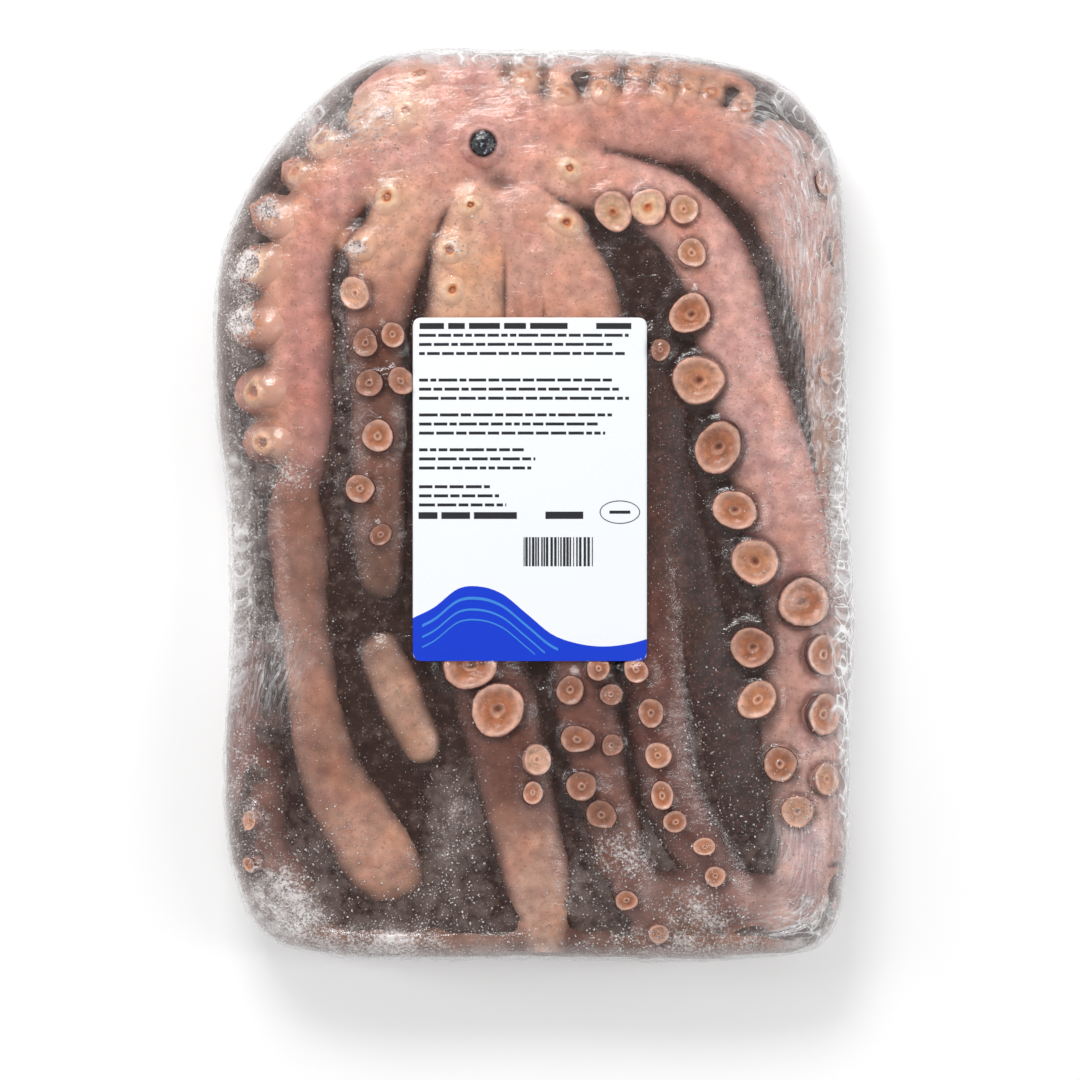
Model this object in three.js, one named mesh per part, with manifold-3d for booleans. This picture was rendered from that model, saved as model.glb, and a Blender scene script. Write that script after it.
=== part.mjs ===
// A whole raw octopus, frozen flat into a block and wrapped tight in clear film, with a paper label on top.
// Millimetres. The pack lies on its flat back: +Z is up, out of the shown side, +Y runs from the arm tips
// towards the mouth, and +X is to the right of somebody who looks down with +Y away from them.
// The origin is under the middle of the pack, on the surface it lies on.
import * as THREE from 'three';
import { mergeVertices } from 'three/addons/utils/BufferGeometryUtils.js';
import Module from 'manifold-3d';

const wasm = await Module();
wasm.setup();

// Driving dimensions
const PACK_WIDTH = 250;
const PACK_LENGTH = 356;
const CORE_TOP = 37; // top of the ice between the arms
const ARM_TOP = 52.5; // top of the arms in the middle of the pack
const EDGE_DROP = 9; // how much lower the arms lie at the rim of the pack
const LABEL_WIDTH = 90;
const LABEL_LENGTH = 132;
const LABEL_THICKNESS = 0.6;
const LABEL_CORNER = 3;
const LABEL_PRESS = 1; // how deep the label is pressed into the arms' tops
const LABEL_TOP = ARM_TOP - LABEL_PRESS + LABEL_THICKNESS;
const LABEL_SAG = 1.4; // how far the label's long edges bend down over the arms
const LABEL_CENTRE = [-2, 6];
const FIT_GAP = 0.3;
const CLEAR = 20; // how far a cutting shape reaches past what it cuts

// Meshing
const UP = new THREE.Vector3(0, 0, 1);
const ARM_SIDES = 10;
const BACK_SIDES = 8;
const ARM_STEP = 17; // distance between the sections of an arm
const END_SHARES = [0, 0.3, 0.65]; // sections that round an arm's end, as shares of the last step
const TIP_ROUND = 0.25; // the size of an arm's last section
const AHEAD = 0.01; // share of an arm over which its direction is taken
const LARGE_SUCKER = 8; // radius from which a sucker gets more sides
const RIM_POINTS = 44;
const LABEL_STRIPS = 8;
const CORNER_POINTS = 5;

// The pack seen from above: its arched outline, anticlockwise from the right side.
const RIM = [
  [122, 70], [121, 112], [113, 142], [92, 165], [50, 176], [0, 178], [-58, 175], [-90, 151], [-113, 121],
  [-124, 92], [-125, 40], [-119, 0], [-118, -60], [-122, -100], [-119, -140], [-107, -167], [-80, -176],
  [0, -177.5], [80, -177.5], [114, -170], [122, -140], [123, -90], [125, -55], [123, 0],
];

// How the rim is rounded: [height, inset from the outline] from the flat back to the top of the ice.
const RIM_PROFILE = [[3, 12], [7, 4], [15, 0], [24, 1], [32, 5], [CORE_TOP, 13]];

// An arm is a little flatter than wide, and a thick one is pressed down to this half height.
const ARM_FLATNESS = 0.9;
const ARM_HALF_HEIGHT = 17;

// A sucker's half section, [radius, height] in shares of its radius: a short stalk, a rim and a hollow.
const SUCKER_PROFILE = [[0, -0.7], [1, -0.4], [1, 0.25], [0.7, 0.36], [0, -0.1]];

// Arms on the shown side. route: [x, y, half width] along the middle of the arm, from the mouth to the tip.
// sink: how far the arm lies below its neighbours, at its root and at its tip.
// rows: rows of suckers, each with the share of the arm where it starts and ends, how many suckers it has,
// how far it is turned from the top of the arm in degrees (left of the route is positive), and their radii.
const ARMS = {
  outer_left: {
    route: [[-25, 137, 13], [-52, 137, 15], [-73, 129, 16], [-88, 111, 17], [-95, 86, 19], [-95, 60, 20],
      [-93, 33, 18], [-91, 10, 14], [-92, -4, 10]],
    sink: [0, 2],
    rows: [{ from: 0.13, to: 0.8, count: 9, turn: [-58, -60], radius: [6, 8, 7.5] }],
  },
  low_left: {
    route: [[-91, 3, 10], [-90, -21, 12], [-89, -44, 12], [-87, -63, 12], [-84, -83, 13], [-77, -106, 15],
      [-66, -125, 18], [-57, -141, 18], [-53, -159, 12]],
    sink: [2, 2],
    rows: [],
  },
  second_left: {
    route: [[-28, 129, 11], [-44, 119, 14], [-54, 102, 16], [-59, 83, 15], [-61, 63, 13], [-60, 40, 12],
      [-60, 17, 11], [-60, -10, 11], [-59, -38, 8]],
    sink: [0, 4],
    rows: [
      { from: 0.15, to: 0.35, count: 3, turn: [-34, -44], radius: [8, 7, 6.5] },
      { from: 0.44, to: 0.84, count: 5, turn: [-22, -4], radius: [5.5, 6, 5] },
      { from: 0.43, to: 0.53, count: 2, turn: [32, 34], radius: [5, 5.2, 5] },
    ],
  },
  finger: {
    route: [[-62, -48, 8], [-54, -69, 10], [-46, -88, 9], [-41, -101, 7]],
    sink: [2, 2],
    rows: [],
  },
  centre_left: {
    route: [[-22, 127, 10], [-24, 102, 16], [-26, 79, 18], [-28, 40, 18], [-28, 2, 17], [-25, -36, 17],
      [-17, -67, 18], [-11, -92, 18], [-6, -115, 17], [0, -140, 14], [3, -158, 12], [4, -170, 8]],
    sink: [0, 1],
    rows: [
      { from: 0.04, to: 0.18, count: 3, turn: [-8, -30], radius: [5, 7, 7] },
      { from: 0.63, to: 0.7, count: 2, turn: [-14, 4], radius: [10, 10, 10.5] },
      { from: 0.77, to: 0.83, count: 2, turn: [58, 60], radius: [7, 5, 4] },
    ],
  },
  centre_right: {
    route: [[-8, 125, 9], [4, 104, 15], [15, 83, 18], [21, 40, 17], [17, -6, 15], [16, -44, 14],
      [20, -75, 14], [24, -100, 12], [30, -123, 11], [37, -146, 9], [46, -163, 8], [51, -171, 6]],
    sink: [0, 4],
    rows: [
      { from: 0.08, to: 0.09, count: 1, turn: [38, 38], radius: [7, 7, 7] },
      { from: 0.64, to: 0.77, count: 4, turn: [-24, -20], radius: [5.8, 6.2, 6] },
      { from: 0.61, to: 0.75, count: 4, turn: [34, 30], radius: [4.8, 4.8, 4.4] },
      { from: 0.91, to: 0.975, count: 2, turn: [0, 10], radius: [4.6, 4.6, 4.6] },
    ],
  },
  inner_right: {
    route: [[41, 62, 8], [43, 21, 11], [45, -21, 12], [46, -56, 14], [48, -83, 13], [51, -106, 12],
      [60, -127, 12], [69, -144, 11], [74, -160, 7]],
    sink: [3, 4],
    rows: [{ from: 0.54, to: 0.93, count: 7, turn: [-12, -8], radius: [5.6, 5.2, 4.4] }],
  },
  big_right: {
    route: [[-11, 134, 9], [10, 129, 12], [33, 123, 14], [55, 113, 16], [72, 90, 18], [80, 60, 19],
      [87, 29, 20], [95, -2, 19], [101, -29, 19], [103, -56, 20], [102, -83, 20], [103, -110, 17],
      [104, -133, 15], [98, -158, 11]],
    sink: [0, 1],
    rows: [
      { from: 0.065, to: 0.14, count: 2, turn: [0, -50], radius: [5.8, 7, 7.7] },
      { from: 0.18, to: 0.22, count: 2, turn: [-24, -6], radius: [7, 6.4, 5.8] },
      { from: 0.245, to: 0.61, count: 6, turn: [-62, -48], radius: [6, 9.8, 9.2] },
      { from: 0.695, to: 0.9, count: 4, turn: [-56, -10], radius: [8.6, 8, 6.6] },
      { from: 0.66, to: 0.85, count: 4, turn: [10, 48], radius: [10.4, 9.2, 7] },
    ],
  },
  outer_right: {
    route: [[-13, 150, 10], [10, 151, 15], [40, 150, 17], [67, 144, 18], [89, 129, 18], [102, 104, 17],
      [108, 75, 16], [111, 44, 13], [115, 14, 9], [117, -10, 4]],
    sink: [0, 3],
    rows: [{ from: 0.05, to: 0.72, count: 11, turn: [50, 62], radius: [5.5, 6.2, 6] }],
  },
  top_back: {
    route: [[-70, 151, 7], [-52, 162, 10], [-29, 164, 11], [-6, 166, 10], [14, 168, 7]],
    sink: [3, 3],
    rows: [],
  },
  corner_left: {
    route: [[-105, -58, 5], [-109, -90, 9], [-107, -121, 11], [-99, -144, 12], [-84, -159, 9]],
    sink: [4, 3],
    rows: [{ from: 0.56, to: 0.71, count: 2, turn: [-24, -50], radius: [3.6, 3.4, 3.2] }],
  },
  dark_skin: {
    route: [[51, 63, 5], [54, 21, 8], [60, -21, 10], [69, -63, 13], [77, -102, 14], [82, -133, 11]],
    sink: [6, 5],
    rows: [],
  },
};

// The back, pressed flat on the tray: the mantle lies under the label with arms folded round it.
const BACK_HEIGHT = 11; // half height of what lies on the back
const BACK_LIFT = 9.5; // its middle above the tray, so that its flat foot is wide
const MANTLE = [[0, 84, 20], [0, 66, 44], [0, 30, 54], [0, -10, 50], [0, -44, 34], [0, -58, 16]];
const BACK_ARMS = {
  back_left: [[-34, 150, 12], [-72, 128, 16], [-92, 84, 18], [-94, 20, 18], [-92, -50, 17], [-84, -110, 16],
    [-60, -150, 13]],
  back_right: [[34, 152, 12], [74, 128, 16], [94, 84, 18], [96, 20, 18], [96, -50, 17], [88, -110, 16],
    [66, -150, 13]],
  back_inner_left: [[-58, 96, 10], [-64, 40, 12], [-62, -30, 14], [-52, -90, 15], [-34, -140, 13]],
  back_inner_right: [[58, 98, 10], [66, 44, 12], [64, -30, 14], [54, -92, 15], [34, -142, 13]],
  back_middle: [[0, -66, 14], [-4, -100, 17], [-2, -150, 15]],
  back_top: [[-36, 152, 13], [0, 116, 15], [36, 154, 13]],
};

// The mouth, where the arms meet: a ring of lip with the dark ball of the beak in it.
const MOUTH = { x: -20, y: 139, lip: 8, beak: 4.6, sides: 12 };
const MOUTH_PROFILE = [[0, -10], [MOUTH.lip, -10], [MOUTH.lip, -2], [0.8 * MOUTH.lip, 0.6], [MOUTH.beak, -0.4],
  [0.7 * MOUTH.beak, 1.6], [0, 2.4]];

// One closed solid from a three.js geometry.
function solidOf(geometry) {
  const bare = geometry.index ? geometry.toNonIndexed() : geometry;
  const positions = new THREE.BufferGeometry().setAttribute('position', bare.getAttribute('position'));
  const merged = mergeVertices(positions, 1e-4);
  return new wasm.Manifold(new wasm.Mesh({
    numProp: 3,
    vertProperties: merged.attributes.position.array,
    triVerts: new Uint32Array(merged.index.array),
  }));
}

// Joins rings of points, each as many long, into one closed skin with a fan at both ends.
function skinOf(rings) {
  const sides = rings[0].length;
  const points = rings.flat();
  const index = [];
  for (let i = 0; i < rings.length - 1; i++) {
    for (let j = 0; j < sides; j++) {
      const a = i * sides + j;
      const b = i * sides + (j + 1) % sides;
      index.push(a, b, b + sides, a, b + sides, a + sides);
    }
  }
  for (const [ring, flip] of [[0, true], [rings.length - 1, false]]) {
    const middle = new THREE.Vector3();
    rings[ring].forEach((p) => middle.addScaledVector(p, 1 / sides));
    points.push(middle);
    for (let j = 0; j < sides; j++) {
      const a = ring * sides + j;
      const b = ring * sides + (j + 1) % sides;
      index.push(points.length - 1, ...(flip ? [b, a] : [a, b]));
    }
  }
  return new THREE.BufferGeometry().setFromPoints(points).setIndex(index);
}

// 0 in the middle of the pack and 1 on its outline, near enough.
function shareOut(x, y) {
  return Math.hypot((x / (PACK_WIDTH / 2)) ** 2, (y / (PACK_LENGTH / 2)) ** 2);
}

// The height of the arms' tops over a point of the pack.
function topAt(x, y) {
  return ARM_TOP - EDGE_DROP * shareOut(x, y) ** 2;
}

// A smooth arm: its middle line, and its half width and half height at a share t of its length.
function armOf(route, sink = [0, 0], lift = null) {
  const plan = curveThrough(route);
  const length = curveThrough(route.map(([x, y]) => [x, y, 0])).getLength();
  const at = (t) => {
    const { x, y, z: width } = plan.getPoint(plan.getUtoTmapping(t));
    const height = lift === null ? Math.min(ARM_FLATNESS * width, ARM_HALF_HEIGHT) : BACK_HEIGHT;
    const top = topAt(x, y) - THREE.MathUtils.lerp(sink[0], sink[1], t);
    return { middle: new THREE.Vector3(x, y, lift === null ? top - height : lift), width, height };
  };
  const across = (t) => {
    const next = at(Math.min(1, t + AHEAD)).middle;
    const last = at(Math.max(0, t - AHEAD)).middle;
    return UP.clone().cross(next.sub(last).setZ(0).normalize());
  };
  return { at, across, length };
}

function curveThrough(points, closed = false) {
  const corners = points.map(([x, y, z = 0]) => new THREE.Vector3(x, y, z));
  return new THREE.CatmullRomCurve3(corners, closed, 'centripetal');
}

// The arm's rounded body: oval sections along it, drawn in to a round end at both tips.
function armGeometry(arm, sides = ARM_SIDES) {
  const steps = Math.ceil(arm.length / ARM_STEP);
  const start = END_SHARES.map((share) => share / steps);
  const between = Array.from({ length: steps - 1 }, (_, i) => (i + 1) / steps);
  const end = start.map((t) => 1 - t).reverse();
  const rings = [...start, ...between, ...end].map((t) => {
    const { middle, width, height } = arm.at(t);
    const across = arm.across(t);
    const fromEnd = Math.min(t, 1 - t) * arm.length;
    const round = Math.sqrt(Math.max(TIP_ROUND ** 2, 1 - Math.max(0, 1 - fromEnd / width) ** 2));
    return Array.from({ length: sides }, (_, j) => {
      const turn = 2 * Math.PI * (j + 0.5) / sides;
      return middle.clone()
        .addScaledVector(across, width * round * Math.cos(turn))
        .addScaledVector(UP, height * round * Math.sin(turn));
    });
  });
  return skinOf(rings);
}

// One sucker: a low cup on a short stalk, with a hole in the middle, open along +Y before it is turned.
function suckerGeometry(radius) {
  const profile = SUCKER_PROFILE.map(([r, h]) => new THREE.Vector2(r * radius, h * radius));
  return new THREE.LatheGeometry(profile, radius > LARGE_SUCKER ? 8 : 6);
}

function radiusAt([first, middle, last], share) {
  const { lerp } = THREE.MathUtils;
  return share < 0.5 ? lerp(first, middle, 2 * share) : lerp(middle, last, 2 * share - 1);
}

// The suckers of one row, each set square to the arm's skin.
function rowOfSuckers(arm, { from, to, count, turn, radius }) {
  return Array.from({ length: count }, (_, i) => {
    const share = count === 1 ? 0 : i / (count - 1);
    const t = THREE.MathUtils.lerp(from, to, share);
    const angle = THREE.MathUtils.degToRad(THREE.MathUtils.lerp(turn[0], turn[1], share));
    const [side, rise] = [Math.sin(angle), Math.cos(angle)];
    const { middle, width, height } = arm.at(t);
    const across = arm.across(t);
    const place = middle.addScaledVector(across, width * side).addScaledVector(UP, height * rise);
    const facing = across.multiplyScalar(height * side).addScaledVector(UP, width * rise).normalize();
    const standing = new THREE.Quaternion().setFromUnitVectors(new THREE.Vector3(0, 1, 0), facing);
    const sucker = suckerGeometry(radiusAt(radius, share));
    return sucker.applyQuaternion(standing).translate(place.x, place.y, place.z);
  });
}

// The ice and film between the arms: the pack's outline, rounded over at the rim.
function coreGeometry() {
  const rim = curveThrough(RIM, true).getSpacedPoints(RIM_POINTS).slice(0, RIM_POINTS);
  return skinOf(RIM_PROFILE.map(([height, inset]) => rim.map((p) => {
    const reach = Math.hypot(p.x, p.y);
    return new THREE.Vector3(p.x * (1 - inset / reach), p.y * (1 - inset / reach), height);
  })));
}

function mouthGeometry() {
  return new THREE.LatheGeometry(MOUTH_PROFILE.map(([r, h]) => new THREE.Vector2(r, h)), MOUTH.sides)
    .rotateX(Math.PI / 2)
    .translate(MOUTH.x, MOUTH.y, topAt(MOUTH.x, MOUTH.y));
}

// The whole pack: ice, arms, suckers and mouth as the one frozen body that the film is drawn over.
function packSolid() {
  const arms = Object.values(ARMS).map(({ route, sink, rows }) => ({ arm: armOf(route, sink), rows }));
  const back = [MANTLE, ...Object.values(BACK_ARMS)].map((route) => armOf(route, [0, 0], BACK_LIFT));
  const pieces = [
    coreGeometry(),
    mouthGeometry(),
    ...arms.map(({ arm }) => armGeometry(arm)),
    ...arms.flatMap(({ arm, rows }) => rows.flatMap((row) => rowOfSuckers(arm, row))),
    ...back.map((arm) => armGeometry(arm, BACK_SIDES)),
  ];
  const joined = wasm.Manifold.union(pieces.map(solidOf));
  const cut = joined.subtract(solidOf(belowTray())).subtract(solidOf(labelBlank(FIT_GAP)));
  return outerSkin(solidOf(geometryOf(cut)));
}

// The largest skin of a solid: hollows that joining the pieces sealed are filled, and scraps dropped.
function outerSkin(solid) {
  return solid.decompose().reduce((a, b) => (b.volume() > a.volume() ? b : a));
}

// What the tray cuts off below the pack.
function belowTray() {
  const [width, length] = [PACK_WIDTH + 2 * CLEAR, PACK_LENGTH + 2 * CLEAR];
  return new THREE.BoxGeometry(width, length, CLEAR).translate(0, 0, -CLEAR / 2);
}

// The label, bent over the arms. With a gap it is the room that the label takes, up through the top.
function labelBlank(gap = 0) {
  const [width, length] = [LABEL_WIDTH + 2 * gap, LABEL_LENGTH + 2 * gap];
  const [x0, y0] = LABEL_CENTRE;
  const corner = LABEL_CORNER + gap;
  const outline = new THREE.Shape();
  outline.absarc(width / 2 - corner, length / 2 - corner, corner, 0, Math.PI / 2);
  outline.absarc(-width / 2 + corner, length / 2 - corner, corner, Math.PI / 2, Math.PI);
  outline.absarc(-width / 2 + corner, -length / 2 + corner, corner, Math.PI, 1.5 * Math.PI);
  outline.absarc(width / 2 - corner, -length / 2 + corner, corner, 1.5 * Math.PI, 2 * Math.PI);
  const rim = outline.getPoints(CORNER_POINTS).slice(0, -1);
  const strips = Array.from({ length: LABEL_STRIPS - 1 }, (_, i) => ((i + 1) / LABEL_STRIPS - 0.5) * width);
  const depth = gap ? CLEAR : LABEL_THICKNESS;
  const bend = (x) => LABEL_TOP - LABEL_THICKNESS - gap - LABEL_SAG * (2 * x / LABEL_WIDTH) ** 2;
  return bentSheet(rim, strips, bend, depth).translate(x0, y0, 0);
}

// A sheet with the given outline, cut into strips along Y so that it can bend, both faces alike.
function bentSheet(rim, cuts, heightAt, depth) {
  const edges = [];
  rim.forEach((p, i) => {
    const q = rim[(i + 1) % rim.length];
    edges.push(p);
    const crossed = cuts.filter((c) => (p.x - c) * (q.x - c) < -1e-6);
    crossed.sort((a, b) => (a - b) * Math.sign(q.x - p.x));
    crossed.forEach((c) => edges.push(new THREE.Vector2(c, p.y + (q.y - p.y) * (c - p.x) / (q.x - p.x))));
  });
  const positions = [];
  const corner = (p, level) => [p.x, p.y, heightAt(p.x) + level];
  const triangle = (a, b, c) => positions.push(...a, ...b, ...c);
  const stations = [...new Set(edges.map((p) => Math.round(p.x * 1e3) / 1e3))].sort((a, b) => a - b);
  const column = (x) => edges.filter((p) => Math.abs(p.x - x) < 1e-3).sort((a, b) => a.y - b.y);
  for (let i = 0; i < stations.length - 1; i++) {
    const [left, right] = [column(stations[i]), column(stations[i + 1])];
    const rows = Math.max(left.length, right.length) - 1;
    const pick = (side, j) => side[Math.min(j, side.length - 1)];
    for (let j = 0; j < rows; j++) {
      const quad = [pick(left, j), pick(right, j), pick(right, j + 1), pick(left, j + 1)];
      for (const [a, b, c] of [[0, 1, 2], [0, 2, 3]]) {
        if (quad[a] === quad[b] || quad[b] === quad[c] || quad[a] === quad[c]) continue;
        triangle(corner(quad[a], depth), corner(quad[b], depth), corner(quad[c], depth));
        triangle(corner(quad[a], 0), corner(quad[c], 0), corner(quad[b], 0));
      }
    }
  }
  edges.forEach((p, i) => {
    const q = edges[(i + 1) % edges.length];
    triangle(corner(p, 0), corner(q, 0), corner(q, depth));
    triangle(corner(p, 0), corner(q, depth), corner(p, depth));
  });
  return new THREE.BufferGeometry().setAttribute('position', new THREE.Float32BufferAttribute(positions, 3));
}

// A manifold-3d solid as a three.js geometry.
function geometryOf(solid) {
  const { numProp, vertProperties, triVerts } = solid.getMesh();
  const positions = new Float32Array(vertProperties.length / numProp * 3);
  for (let i = 0; i < positions.length / 3; i++) {
    positions.set(vertProperties.subarray(i * numProp, i * numProp + 3), 3 * i);
  }
  const geometry = new THREE.BufferGeometry();
  geometry.setAttribute('position', new THREE.BufferAttribute(positions, 3));
  geometry.setIndex(new THREE.BufferAttribute(triVerts, 1));
  geometry.computeVertexNormals();
  return geometry;
}

const skin = new THREE.MeshStandardMaterial({ color: 0xc98f82, roughness: 0.35, metalness: 0 });
const paper = new THREE.MeshStandardMaterial({ color: 0xeef1f6, roughness: 0.5, metalness: 0 });

const pack = new THREE.Mesh(geometryOf(packSolid()), skin);
pack.name = 'octopus_pack';

const label = new THREE.Mesh(labelBlank(), paper);
label.name = 'label';

const whole = new THREE.Group();
whole.add(pack, label);

export default whole;
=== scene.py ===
# A whole raw octopus, frozen flat in ice, drawn tight into clear film, with a paper label on top.
# It lies on its back: +Z is up out of the shown side and +Y runs towards the mouth.
# Sizes are in millimetres and turned to Blender's metres by MM where a mesh is made.
import math

import bpy
import numpy as np
from mathutils import Matrix, Quaternion, Vector
from mathutils.bvhtree import BVHTree


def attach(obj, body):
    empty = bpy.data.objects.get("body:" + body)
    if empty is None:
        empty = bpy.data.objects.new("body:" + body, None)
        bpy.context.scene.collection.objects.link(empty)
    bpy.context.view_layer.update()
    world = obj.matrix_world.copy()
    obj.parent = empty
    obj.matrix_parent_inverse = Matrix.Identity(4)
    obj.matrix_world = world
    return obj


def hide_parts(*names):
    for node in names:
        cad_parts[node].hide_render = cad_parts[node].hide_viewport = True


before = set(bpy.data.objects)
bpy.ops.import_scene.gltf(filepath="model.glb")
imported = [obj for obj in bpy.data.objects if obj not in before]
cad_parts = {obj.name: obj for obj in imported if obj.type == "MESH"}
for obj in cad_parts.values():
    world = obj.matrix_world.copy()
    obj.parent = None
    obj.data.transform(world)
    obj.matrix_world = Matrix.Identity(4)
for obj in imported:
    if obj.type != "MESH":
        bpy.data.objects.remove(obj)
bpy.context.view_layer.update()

# The arms
# Eight arms and the skin between them, folded down side by side from the mouth, with some tips turned back.
# Soft raw flesh, pressed flat by the tray and the film while it froze. Each arm is an oval tube along its
# route, and all are fused into one skin.
MM = 0.001
PACK_WIDTH = 250
PACK_LENGTH = 356
ARM_TOP = 52.5
EDGE_DROP = 9
ARM_FLATNESS = 0.9
ARM_HALF_HEIGHT = 17
ARM_STEP = 3
ARM_SQUARENESS = 2.4  # 2 is a plain oval, and more is flatter above and below
SKIN_DROP = 1.8  # how far the suckers stand out of the skin
ARM_SPREAD = 1.1  # how much wider the soft arms are pressed than their routes say
SKIN_STEP = 1.5
SKIN_BLEND = 1.7  # how softly the arms run into each other
SKIN_FACES = 190000
LABEL_SIZE = (90, 132)
LABEL_CENTRE = (-2, 6)
LABEL_TOP = 52.1
LABEL_THICKNESS = 0.6  # the room it takes in the pack
LABEL_SHEET = 0.25  # the thickness of the sheet itself, with its glue
LABEL_SAG = 1.4  # how much lower its two sides lie than its middle
UNDER_LABEL = 1.1  # room for the film between the flesh and the label
CREASE_DEPTH = 2.2
HOLLOW_DEPTH = 3.4
# How deep the skin is pressed under each kind of cup, and how far round it, by the cup's radius.
CUP_BEDS = {"flat": (0.4, 0.85), "deep": (0.7, 0.85), "lump": (0.3, 1.0)}

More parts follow.
